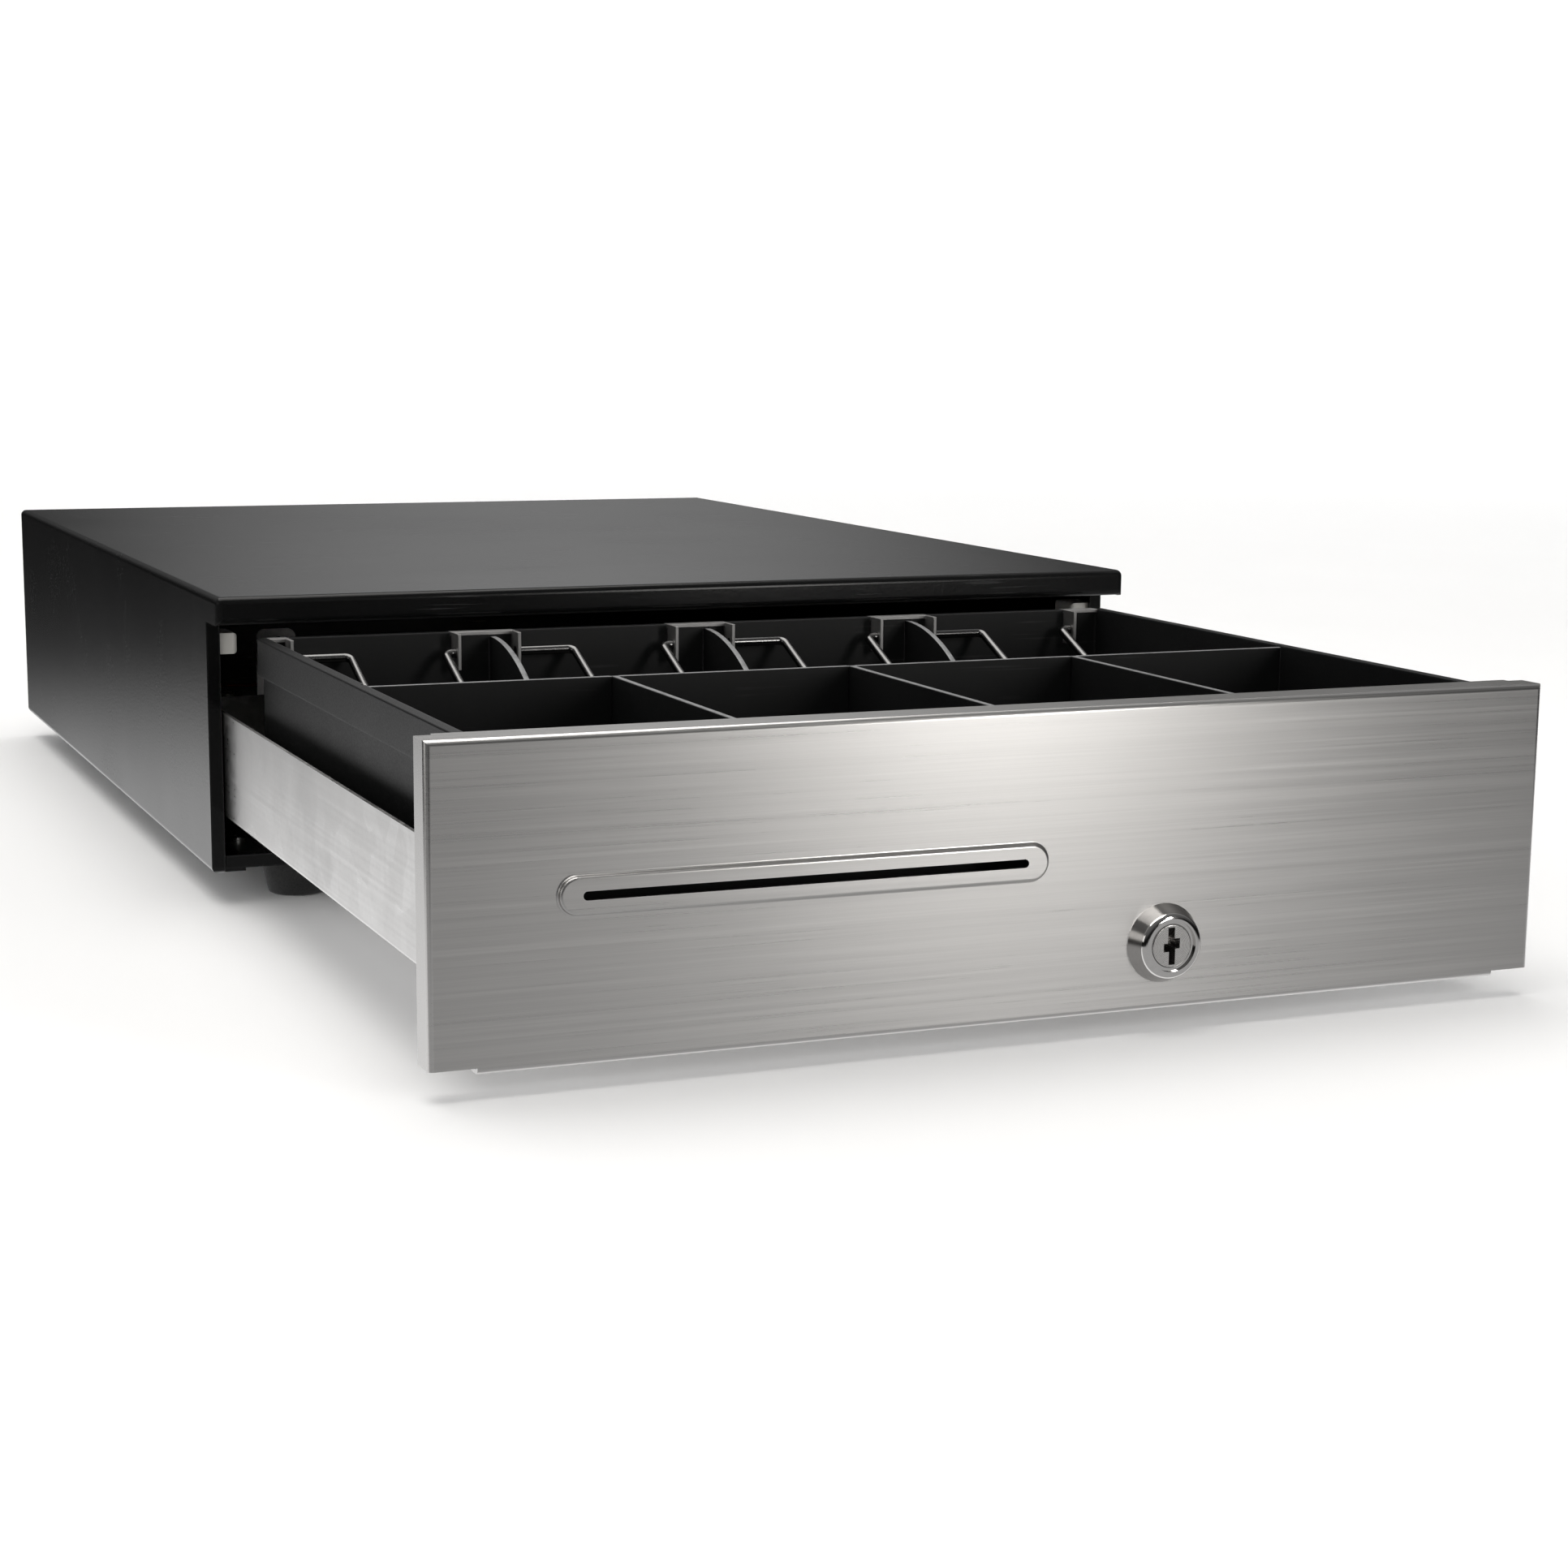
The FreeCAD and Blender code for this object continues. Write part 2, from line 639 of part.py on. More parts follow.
# ---- lock
lock_rear = face + sheet + lock_body_length
cam_front = lock_rear + 0.3
keeper_front = face_shut + sheet + lock_body_length - 1.9


def lock_housing():
    bezel = Part.makeCone(lock_bezel_radius, 0.8 * lock_bezel_radius, lock_bezel_height,
                          V(lock_x, face, z_lock), V(0, -1, 0))
    rim = [e for e in bezel.Edges if e.Closed and near(e.CenterOfMass.y, bezel_front)]
    bezel = bezel.makeFillet(1.8, rim)
    body = rod_y(face, lock_rear, lock_x, z_lock, lock_body_radius)
    body = body.common(block(lock_x - lock_flat, lock_x + lock_flat, face, lock_rear,
                             z_lock - half, z_lock + half))
    bore = rod_y(bezel_front - 1, lock_rear + 1, lock_x, z_lock, lock_plug_radius + running)
    recess = rod_y(bezel_front - 1, bezel_front + 0.8, lock_x, z_lock, lock_plug_radius + 1.1)
    return less(joined([bezel, body]), [bore, recess])


def keyway(y0, y1):
    """A zigzag slot for the key, seen from the front."""
    w, h = keyway_width / 2, keyway_height / 2
    outline = [(-w, h), (0.6 * w, h), (0.6 * w, 0.4 * h), (1.9 * w, 0.4 * h), (1.9 * w, -0.15 * h),
               (0.8 * w, -0.15 * h), (0.8 * w, -h), (-0.7 * w, -h), (-0.7 * w, -0.3 * h),
               (-2.0 * w, -0.3 * h), (-2.0 * w, 0.15 * h), (-w, 0.15 * h)]
    return prism([V(lock_x + u, y0, z_lock + v) for u, v in outline], V(0, y1 - y0, 0))


def make_lock():
    keep("lock_housing", lock_housing())
    plug_front = bezel_front + 0.5
    plug = rod_y(plug_front, cam_front + cam_thickness, lock_x, z_lock, lock_plug_radius)
    neck = 3.0
    square = block(lock_x - neck, lock_x + neck, cam_front, cam_front + cam_thickness,
                   z_lock - neck, z_lock + neck)
    core = rod_y(plug_front, cam_front, lock_x, z_lock, lock_plug_radius)
    rim = [e for e in core.Edges if e.Closed and near(e.CenterOfMass.y, plug_front)]
    plug = joined([core.makeFillet(0.4, rim), square])
    thread = rod_y(cam_front - 6.0, cam_front + cam_thickness + 1, lock_x, z_lock, screw_radius)
    keep("lock_plug", less(plug, [keyway(plug_front - 1, plug_front + 0.5 * lock_body_length), thread]))
    w = cam_width / 2
    arm = block(lock_x, lock_x + cam_reach - w, cam_front, cam_front + cam_thickness, z_lock - w, z_lock + w)
    hub = rod_y(cam_front, cam_front + cam_thickness, lock_x, z_lock, lock_plug_radius - 0.6)
    tip = rod_y(cam_front, cam_front + cam_thickness, lock_x + cam_reach - w, z_lock, w)
    keep("lock_cam", joined([arm, hub, tip]).cut(square))
    keep("cam_screw", pan_screw(V(lock_x, cam_front + cam_thickness, z_lock), V(0, -1, 0), 6.0))
    spread = lock_nut_width / 2
    plate = block(lock_x - spread, lock_x + spread, pan_front, pan_front + lock_nut_height,
                  z_lock - 0.5 * spread, z_lock + spread)
    grip = block(lock_x - lock_flat, lock_x + lock_flat, pan_front - 1, pan_front + lock_nut_height + 1,
                 z_lock - spread - 1, z_lock + lock_body_radius)
    keep("lock_clip", plate.cut(grip))
    top = z_lock - lock_body_radius - 0.7
    foot_plate = block(lock_x - 8.0, lock_x + 8.0, keeper_front - 7.0, keeper_front + sheet, z_floor,
                       z_floor + sheet)
    upright = block(lock_x - 8.0, lock_x + 8.0, keeper_front, keeper_front + sheet, z_floor, top)
    holes = [rod_z(z_floor - 1, z_floor + sheet + 1, x, y, clear_radius) for x, y in keeper_screws]
    keep("lock_keeper", less(joined([foot_plate, upright]), holes))


# ---- till
def till_tray():
    band = block(-till_half, till_half, till_front, till_rear, z_rim - rim_band_height, z_rim)
    shell = block(-till_half + rim_band, till_half - rim_band, till_front + rim_band, till_rear - rim_band,
                  z_till, z_rim)
    outer = joined([band, shell])
    corners = [e for e in outer.Edges if near(abs(e.tangentAt(e.FirstParameter).z), 1)]
    outer = outer.makeFillet(3.0, corners)
    top = [e for e in outer.Edges if all(near(v.Point.z, z_rim) for v in e.Vertexes)]
    outer = outer.makeFillet(0.5, top)
    inner = block(-till_inner, till_inner, till_front_inner, till_rear_inner, z_till_floor, z_rim + 1)
    corners = [e for e in inner.Edges if near(abs(e.tangentAt(e.FirstParameter).z), 1)]
    inner = inner.makeFillet(1.0, corners)
    tray = outer.cut(inner)
    scoops = []
    for y, side in ((till_front_inner, 1), (cross_front, -1)):
        corner = block(-till_inner, till_inner, min(y, y + side * coin_scoop), max(y, y + side * coin_scoop),
                       z_till_floor - 0.5, z_till_floor + coin_scoop)
        hollow = rod_x(-half, half, y + side * coin_scoop, z_till_floor + coin_scoop, coin_scoop)
        scoops.append(corner.cut(hollow))
    tray = joined([tray] + scoops)
    ribs = [block(x - 2.0, x + 2.0, till_front + rib_setback, till_rear - 6.0, z_pan + sheet, z_till + 0.5)
            for x in (-till_inner + 12.0, -0.4 * till_inner, 0.4 * till_inner, till_inner - 12.0)]
    z_low = z_till_floor
    d = divider + 2 * slot_play
    cuts = [block(-till_inner - groove_depth, till_inner + groove_depth, cross_front - slot_play,
                  cross_rear + slot_play, z_low, z_rim + 1)]
    for x in divider_lines()[1:-1]:
        cuts.append(block(x - d / 2, x + d / 2, till_front_inner - groove_depth,
                          till_rear_inner + groove_depth, z_low, z_rim + 1))
    for x0, x1 in clip_spans():
        cuts.append(block(x0 - 0.2, x1 + 0.2, till_rear_inner - 1, till_rear + 1, z_rim - clip_sheet,
                          z_rim + 1))
    return less(joined([tray] + ribs), cuts)


def divider_lines():
    """The middle of each divider, with the two side walls first and last."""
    return [-till_inner - divider / 2 + k * pitch for k in range(compartments + 1)]


def compartment_middles():
    lines = divider_lines()
    return [(lines[k] + lines[k + 1]) / 2 for k in range(compartments)]


def cross_divider():
    plate = block(-till_inner - groove_depth + slot_play, till_inner + groove_depth - slot_play,
                  cross_front, cross_rear, z_till_floor, z_divider)
    notches = []
    for x in divider_lines()[1:-1]:
        w = divider / 2 + slot_play
        notches.append(block(x - w, x + w, cross_front - 1, cross_front + 0.3 * divider, z_till_floor - 1,
                             z_rim + 1))
        notches.append(block(x - w, x + w, cross_rear - 0.3 * divider, cross_rear + 1, z_till_floor - 1,
                             z_rim + 1))
    return less(plate, notches)


def coin_divider(x):
    w = divider / 2
    plate = block(x - w, x + w, till_front_inner - groove_depth + slot_play,
                  cross_front + 0.3 * divider - slot_play, z_till_floor, z_divider)
    top = edges_at(plate, lambda p: near(p.z, z_divider))
    return plate.makeFillet(0.4, [e for e in top if e.Length > divider + 1])


def bill_divider(x):
    """High at the back, falling along an arc to a low wall in front."""
    w = divider / 2
    front = cross_rear - 0.3 * divider + slot_play
    back = till_rear_inner + groove_depth - slot_play
    z_centre = z_case + bill_arc_height
    z_low_wall = z_case + bill_low_height
    high = block(x - w, x + w, till_rear_inner - bill_arc_radius, back, z_till_floor, z_divider)
    disc = rod_x(x - w, x + w, till_rear_inner, z_centre, bill_arc_radius)
    shoulder = block(x - w, x + w, till_rear_inner, back, z_till_floor, z_divider - clip_sheet)
    low = block(x - w, x + w, front, back, z_till_floor, z_low_wall)
    return joined([high.common(disc), low, shoulder])


def clip_spans():
    """Left and right end of each hold-down clip; those on the side walls are cut short there."""
    spans = []
    for line in divider_lines():
        spans.append((max(line + clip_left, -till_inner), min(line + clip_right, till_inner)))
    return spans


def clip_ears(index):
    """Left faces of the clip's ears, which stand in the open compartments only."""
    line = divider_lines()[index]
    ears = []
    if index > 0:
        ears.append(line + clip_left)
    if index < compartments:
        ears.append(line + clip_right - clip_sheet)
    return ears


def hold_down_clip(index):
    """A strip over the rear wall with a pierced ear in each compartment beside it."""
    x0, x1 = clip_spans()[index]
    front = till_rear_inner - clip_sheet
    strip = block(x0, x1, front, till_rear, z_rim - clip_sheet, z_rim)
    pieces = [strip]
    for x in clip_ears(index):
        pieces.append(block(x, x + clip_sheet, till_rear_inner - clip_ear_depth, till_rear_inner,
                            z_rim - clip_ear_height, z_rim))
    clip = joined(pieces)
    holes = [rod_x(x - 1, x + clip_sheet + 1, y_pivot, z_pivot, wire_radius + running)
             for x in clip_ears(index)]
    return less(clip, holes)


def arm_points():
    """The arm's route in Y and Z, from the pivot to the cross piece, which rests on the floor."""
    z_foot = z_till_floor + wire_radius + 0.3
    drop = z_pivot - z_foot
    return [(y_pivot, z_pivot), (y_pivot - 0.30 * hold_down_reach, z_pivot - 0.22 * drop),
            (y_pivot - 0.62 * hold_down_reach, z_pivot - 0.72 * drop),
            (y_pivot - hold_down_reach, z_foot)]


def rounded_path(points, bends):
    """Straight runs joined by tangent arcs, with one bend radius for each corner."""
    edges = []
    start = points[0]
    for k in range(1, len(points) - 1):
        corner = points[k]
        radius = bends[k - 1]
        into = corner.sub(points[k - 1]).normalize()
        out = points[k + 1].sub(corner).normalize()
        turn = into.getAngle(out)
        trim = radius * math.tan(turn / 2)
        first = corner.sub(V(into).multiply(trim))
        last = corner.add(V(out).multiply(trim))
        bisector = V(out).sub(into).normalize()
        centre = corner.add(V(bisector).multiply(radius / math.cos(turn / 2)))
        middle = centre.sub(V(bisector).multiply(radius))
        edges.append(Part.LineSegment(start, first).toShape())
        edges.append(Part.Arc(first, middle, last).toShape())
        start = last
    edges.append(Part.LineSegment(start, points[-1]).toShape())
    return Part.Wire(edges)


def tube(points, radius, bends):
    path = rounded_path(points, bends)
    start = path.Edges[0]
    section = Part.Wire(Part.makeCircle(radius, points[0], start.tangentAt(start.FirstParameter)))
    return path.makePipeShell([section], True, True)


def hold_down_route(index):
    """The route of one wire: its two ends turn in the ears, its loop lies on the notes."""
    middle = compartment_middles()[index]
    lines = divider_lines()
    left_ear = lines[index] + clip_right
    right_ear = lines[index + 1] + clip_left
    left, right = middle + arm_left, middle + arm_right
    arm = arm_points()
    points = [V(left_ear - clip_sheet, y_pivot, z_pivot), V(left, y_pivot, z_pivot)]
    points += [V(left, y, z) for y, z in arm[1:]]
    points += [V(right, y, z) for y, z in reversed(arm[1:])]
    points += [V(right, y_pivot, z_pivot), V(right_ear + clip_sheet, y_pivot, z_pivot)]
    return points


def make_till():
    keep("till_tray", till_tray())
    keep("cross_divider", cross_divider())
    for k, x in enumerate(divider_lines()[1:-1], start=1):
        keep("coin_divider_%d" % k, coin_divider(x))
        keep("bill_divider_%d" % k, bill_divider(x))
    keep("hold_down_clips", [hold_down_clip(k) for k in range(compartments + 1)])
    side_bends = [pivot_bend, arm_bend, arm_bend, loop_bend]
    for k in range(compartments):
        wire = tube(hold_down_route(k), wire_radius, side_bends + side_bends[::-1])
        keep("bill_hold_down_%d" % (k + 1), wire)


# ---- latch, solenoid and switch at the back of the case
pin_shut_y = striker_back + striker_pin_out + travel
lever_pivot = V(lever_offset, pin_shut_y + lever_reach, z_lever)
plunger_x = lever_offset + tail_reach * math.cos(math.radians(latch_throw / 2))
plunger_pin_y = lever_pivot.y + tail_reach * math.sin(math.radians(latch_throw / 2))
plunger_front = plunger_pin_y - 5.0
collar_front = plunger_pin_y + 6.5
collar_rear = collar_front + 1.5
coil_front = collar_rear + 9.0 + frame_sheet
coil_rear = coil_front + coil_length
z_plate = z_floor + latch_sheet
switch_x = lever_offset + 18.0
switch_y = pin_shut_y - 3.0
switch_pin = V(switch_x - 1.6, switch_y + 1.6, z_lever)
eject_seat = pan_rear + travel + 38.0
z_eject = z_case + eject_axis_height
latch_screws = [(-1.0, lever_pivot.y + 8.0), (plunger_x + 17.0, lever_pivot.y + 6.0),
                (plunger_x + 17.0, coil_rear - 4.0), (8.0, coil_rear - 4.0)]
eject_screws = [(eject_x - 5.0, eject_seat + 9.0), (eject_x + 5.0, eject_seat + 9.0)]
keeper_screws = [(lock_x - 5.0, keeper_front - 3.6), (lock_x + 5.0, keeper_front - 3.6)]


def latch_plate():
    plate = block(-5.0, plunger_x + 21.0, switch_y - 2.0, coil_rear + frame_sheet + 4.0, z_floor, z_plate)
    corners = [e for e in plate.Edges if near(e.Length, latch_sheet)]
    plate = plate.makeFillet(3.0, corners)
    pad = block(switch_x + 1.0, switch_x + switch_depth - 1.0, switch_y + 2.0, switch_y + switch_length - 2.0,
                z_floor, z_lever - switch_thickness / 2)
    holes = [rod_z(z_floor - 1, z_plate + 1, x, y, clear_radius) for x, y in latch_screws]
    return less(joined([plate, pad]), holes)


def latch_pivot():
    shoulder = rod_z(z_plate, z_lever - lever_thickness / 2 - 0.1, lever_pivot.x, lever_pivot.y, 5.0)
    pin = rod_z(z_plate, z_lever + lever_thickness / 2 + 3.0, lever_pivot.x, lever_pivot.y, pivot_radius)
    return joined([shoulder, pin])


def latch_lever():
    """Flat lever, drawn latched and then turned to its released place."""
    low = z_lever - lever_thickness / 2
    w = lever_width / 2
    x, y = lever_pivot.x, lever_pivot.y
    nose_rear = pin_shut_y - striker_pin_radius - 0.5
    nose_front = nose_rear - 5.0
    outline = [(x - w, y), (x - w, nose_rear), (-1.7 * striker_pin_radius, nose_rear),
               (-0.6 * striker_pin_radius, nose_front), (x + w, nose_front), (x + w, y)]
    arm = prism([V(u, v, low) for u, v in outline], V(0, 0, lever_thickness))
    hub = rod_z(low, low + lever_thickness, x, y, w + 1.5)
    tail = block(x, x + tail_reach, y - w, y + w, low, low + lever_thickness)
    end = rod_z(low, low + lever_thickness, x + tail_reach, y, w)
    slot = block(x + tail_reach - 0.7, x + tail_reach + 0.5, y - 1.65, y + 1.65, low - 1,
                 low + lever_thickness + 1)
    slot_ends = [rod_z(low - 1, low + lever_thickness + 1, x + tail_reach + shift, y, 1.65)
                 for shift in (-0.7, 0.5)]
    tail = turned(less(joined([tail, end]), [slot] + slot_ends), lever_pivot, V(0, 0, 1), -latch_throw / 2)
    bore = rod_z(low - 1, low + lever_thickness + 1, x, y, pivot_radius + running)
    lever = joined([arm, hub, tail]).cut(bore)
    return turned(lever, lever_pivot, V(0, 0, 1), latch_throw)


def solenoid_frame():
    w = coil_radius + 2.0
    x0, x1 = plunger_x - w, plunger_x + w
    y0, y1 = coil_front - frame_sheet, coil_rear + frame_sheet
    top = z_lever + w
    web = block(x0, x1, y0, y1, z_plate, z_plate + frame_sheet)
    plates = [block(x0, x1, y, y + frame_sheet, z_plate, top) for y in (y0, coil_rear)]
    bore = rod_y(y0 - 1, coil_front + 1, plunger_x, z_lever, plunger_radius + 0.3)
    return joined([web] + plates).cut(bore)


def solenoid_bobbin():
    flange = 1.5
    spool = rod_y(coil_front, coil_rear, plunger_x, z_lever, plunger_radius + 1.2)
    ends = [rod_y(y, y + flange, plunger_x, z_lever, coil_radius + 0.2)
            for y in (coil_front, coil_rear - flange)]
    bore = rod_y(coil_front - 1, coil_rear + 1, plunger_x, z_lever, plunger_radius + 0.3)
    return joined([spool] + ends).cut(bore)


def solenoid_winding():
    outer = rod_y(coil_front + 1.5, coil_rear - 1.5, plunger_x, z_lever, coil_radius - 0.4)
    return outer.cut(rod_y(coil_front, coil_rear, plunger_x, z_lever, plunger_radius + 1.2))


def plunger():
    rod = rod_y(plunger_front, plunger_front + plunger_length, plunger_x, z_lever, plunger_radius)
    collar = rod_y(collar_front, collar_rear, plunger_x, z_lever, plunger_radius + 2.2)
    slit = block(plunger_x - 20, plunger_x + 20, plunger_front - 1, plunger_pin_y + 5.2,
                 z_lever - lever_thickness / 2 - 0.35, z_lever + lever_thickness / 2 + 0.35)
    hole = rod_z(z_lever - 20, z_lever + 20, plunger_x, plunger_pin_y, screw_radius)
    return less(joined([rod, collar]), [slit, hole])


def drawer_switch():
    z0, z1 = z_lever - switch_thickness / 2, z_lever + switch_thickness / 2
    body = block(switch_x, switch_x + switch_depth, switch_y, switch_y + switch_length, z0, z1)
    sides = [e for e in body.Edges if near(e.Length, switch_thickness)]
    body = body.makeFillet(0.8, sides)
    lugs = [block(switch_pin.x - 1.3, switch_x + 1, switch_y + 0.3, switch_y + 2.9, z, z + 0.9)
            for z in (z0, z1 - 0.9)]
    pin = rod_z(z0, z1, switch_pin.x, switch_pin.y, 0.6)
    holes = [rod_z(z0 - 1, z1 + 1, switch_x + 0.7 * switch_depth, switch_y + share * switch_length, 1.1)
             for share in (0.25, 0.75)]
    return less(joined([body] + lugs + [pin]), holes)


def switch_lever():
    """Spring strip with a curled tip that rides beside the latch lever's arm."""
    low, high = z_lever - 1.8, z_lever + 1.8
    tip = V(switch_x - 9.0, switch_y + switch_length - 1.0, 0)
    run = V(tip.x - switch_pin.x, tip.y - switch_pin.y, 0)
    side = V(-run.y, run.x, 0).normalize().multiply(0.25)
    start = V(switch_pin.x, switch_pin.y, 0)
    corners = [start.add(side), tip.add(side), tip.sub(side), start.sub(side)]
    strip = prism([V(p.x, p.y, low) for p in corners], V(0, 0, high - low))
    hub = rod_z(low, high, switch_pin.x, switch_pin.y, 1.2)
    roller = rod_z(low, high, tip.x, tip.y, 0.9)
    bore = rod_z(low - 1, high + 1, switch_pin.x, switch_pin.y, 0.6 + running)
    return joined([strip, hub, roller]).cut(bore)


def eject_bracket():
    foot_plate = block(eject_x - 9.0, eject_x + 9.0, eject_seat, eject_seat + 14.0, z_floor,
                       z_floor + latch_sheet)
    upright = block(eject_x - 9.0, eject_x + 9.0, eject_seat, eject_seat + latch_sheet, z_floor,
                    z_eject + 9.0)
    tops = [e for e in edges_at(upright, lambda p: near(p.z, z_eject + 9.0)) if near(e.Length, latch_sheet)]
    upright = upright.makeFillet(4.0, tops)
    post = rod_y(eject_seat - 30.0, eject_seat + 0.5, eject_x, z_eject, eject_radius - eject_wire - 0.6)
    holes = [rod_z(z_floor - 1, z_floor + latch_sheet + 1, x, y, clear_radius) for x, y in eject_screws]
    return less(joined([foot_plate, upright, post]), holes)


def make_latch():
    keep("latch_plate", latch_plate())
    keep("latch_pivot", latch_pivot())
    low = z_lever + lever_thickness / 2 + 0.3
    ring = rod_z(low, low + 1.0, lever_pivot.x, lever_pivot.y, pivot_radius + 1.8)
    keep("pivot_ring", ring.cut(rod_z(low - 1, low + 2, lever_pivot.x, lever_pivot.y, pivot_radius)))
    keep("latch_lever", latch_lever())
    keep("solenoid_frame", solenoid_frame())
    keep("solenoid_bobbin", solenoid_bobbin())
    keep("solenoid_winding", solenoid_winding())
    keep("solenoid_plunger", plunger())
    keep("plunger_pin", rod_z(z_lever - 0.8 * plunger_radius, z_lever + 0.8 * plunger_radius, plunger_x,
                              plunger_pin_y, screw_radius))
    keep("plunger_spring", coil_y(collar_rear, coil_front - frame_sheet, plunger_x, z_lever,
                                  plunger_radius + 1.2, spring_wire, 5))
    keep("drawer_switch", drawer_switch())
    keep("switch_lever", switch_lever())
    keep("eject_bracket", eject_bracket())
    keep("eject_spring", coil_y(eject_seat - eject_free, eject_seat, eject_x, z_eject, eject_radius,
                                eject_wire, 11))


# ---- circuit board and its socket
board_rear = rear_wall - 2.0
board_front = board_rear - board_depth
board_holes = [(board_x + sx * (board_width / 2 - 4.0), y) for sx in (-1, 1)
               for y in (board_front + 4.0, board_rear - 4.0)]
header_x = board_x + 10.0
lead_spacing = 2.4


def interface_socket():
    x0 = socket_x - socket_width / 2
    rear = case_depth - sheet
    body = block(x0, x0 + socket_width, rear - socket_depth, rear, z_socket, z_socket + socket_height)
    z0 = z_socket + 2.0
    port = block(socket_x - port_width / 2, socket_x + port_width / 2, rear - port_depth, rear + 1, z0,
                 z0 + port_height)
    key = block(socket_x - 1.7, socket_x + 1.7, rear - port_depth, rear + 1, z0, z0 + port_height + 1.4)
    return less(body, [port, key])


def lead(offset):
    z = z_lever
    y_coil = (coil_front + coil_rear) / 2 - 4.0
    reach = plunger_x - coil_radius + 0.35
    span = reach - header_x
    points = [V(header_x + offset, board_front + 2.0, z),
              V(header_x + offset, y_coil + 3.0 - offset, z),
              V(header_x + 0.35 * span, y_coil - 4.0 - offset, z),
              V(header_x + 0.72 * span, y_coil + 2.0 - offset, z),
              V(reach, y_coil - offset, z)]
    return tube(points, lead_radius, [3.5] * (len(points) - 2))


def make_board():
    board = block(board_x - board_width / 2, board_x + board_width / 2, board_front, board_rear, z_board,
                  z_socket)
    keep("interface_board", less(board, [rod_z(z_board - 1, z_socket + 1, x, y, clear_radius)
                                         for x, y in board_holes]))
    keep("board_standoffs", [rod_z(z_floor, z_board, x, y, 2.8).cut(rod_z(z_floor - 1, z_board + 1, x, y,
                             screw_radius)) for x, y in board_holes])
    keep("interface_socket", interface_socket())
    header = block(header_x - 4.0, header_x + 4.0, board_front + 2.0, board_front + 9.0, z_socket,
                   z_lever + 2.5)
    relay = block(board_x - 12.0, board_x + 4.0, board_front + 8.0, board_front + 19.0, z_socket,
                  z_socket + 10.0)
    capacitor = rod_z(z_socket, z_socket + 12.0, board_x - 17.0, board_front + 15.0, 4.0)
    keep("board_components", [header, relay, capacitor])
    keep("solenoid_leads", [lead(offset) for offset in (-lead_spacing / 2, lead_spacing / 2)])


def make_floor_screws():
    """The pan-head screws that hold the rails, brackets and board down."""
    down = V(0, 0, -1)
    screws = [pan_screw(V(side * rail_screw_x, y, z_rail + rail_sheet), down, rail_sheet + sheet)
              for side in (-1, 1) for y in rail_screws_y]
    screws += [pan_screw(V(x, y, z_plate), down, latch_sheet + sheet) for x, y in latch_screws + eject_screws]
    screws += [pan_screw(V(x, y, z_floor + sheet), down, 2 * sheet) for x, y in keeper_screws]
    screws += [pan_screw(V(x, y, z_socket), down, board_thickness + 3.0) for x, y in board_holes]
    keep("floor_screws", screws)


make_slides()
make_case()
make_drawer()
make_lock()
make_till()
make_latch()
make_board()
make_floor_screws()
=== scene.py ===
import json
import math

import bpy
from mathutils import Matrix, Vector


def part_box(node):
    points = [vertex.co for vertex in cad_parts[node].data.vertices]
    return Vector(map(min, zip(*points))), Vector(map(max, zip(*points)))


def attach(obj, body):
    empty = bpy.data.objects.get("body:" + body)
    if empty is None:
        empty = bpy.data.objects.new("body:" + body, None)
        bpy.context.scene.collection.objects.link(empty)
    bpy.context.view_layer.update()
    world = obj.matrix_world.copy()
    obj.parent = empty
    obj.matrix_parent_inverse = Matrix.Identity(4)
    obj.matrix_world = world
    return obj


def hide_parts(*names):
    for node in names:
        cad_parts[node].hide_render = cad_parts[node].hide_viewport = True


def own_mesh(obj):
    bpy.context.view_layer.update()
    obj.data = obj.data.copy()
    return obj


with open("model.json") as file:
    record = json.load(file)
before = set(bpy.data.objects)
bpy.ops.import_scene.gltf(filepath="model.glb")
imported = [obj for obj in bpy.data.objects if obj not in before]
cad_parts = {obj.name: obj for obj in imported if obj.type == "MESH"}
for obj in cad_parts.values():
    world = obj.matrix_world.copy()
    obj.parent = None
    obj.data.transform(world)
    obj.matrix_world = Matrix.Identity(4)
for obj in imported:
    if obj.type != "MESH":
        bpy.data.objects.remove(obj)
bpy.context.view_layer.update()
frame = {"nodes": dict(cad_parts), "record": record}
nodes = frame["nodes"]

MM = 0.001
MICRON = 1e-6
Y_AXIS, Z_AXIS = (0, 1, 0), (0, 0, 1)
NOTE_DIVIDERS = ["bill_divider_%d" % k for k in (1, 2, 3)]
HOLD_DOWNS = ["bill_hold_down_%d" % k for k in (1, 2, 3, 4)]


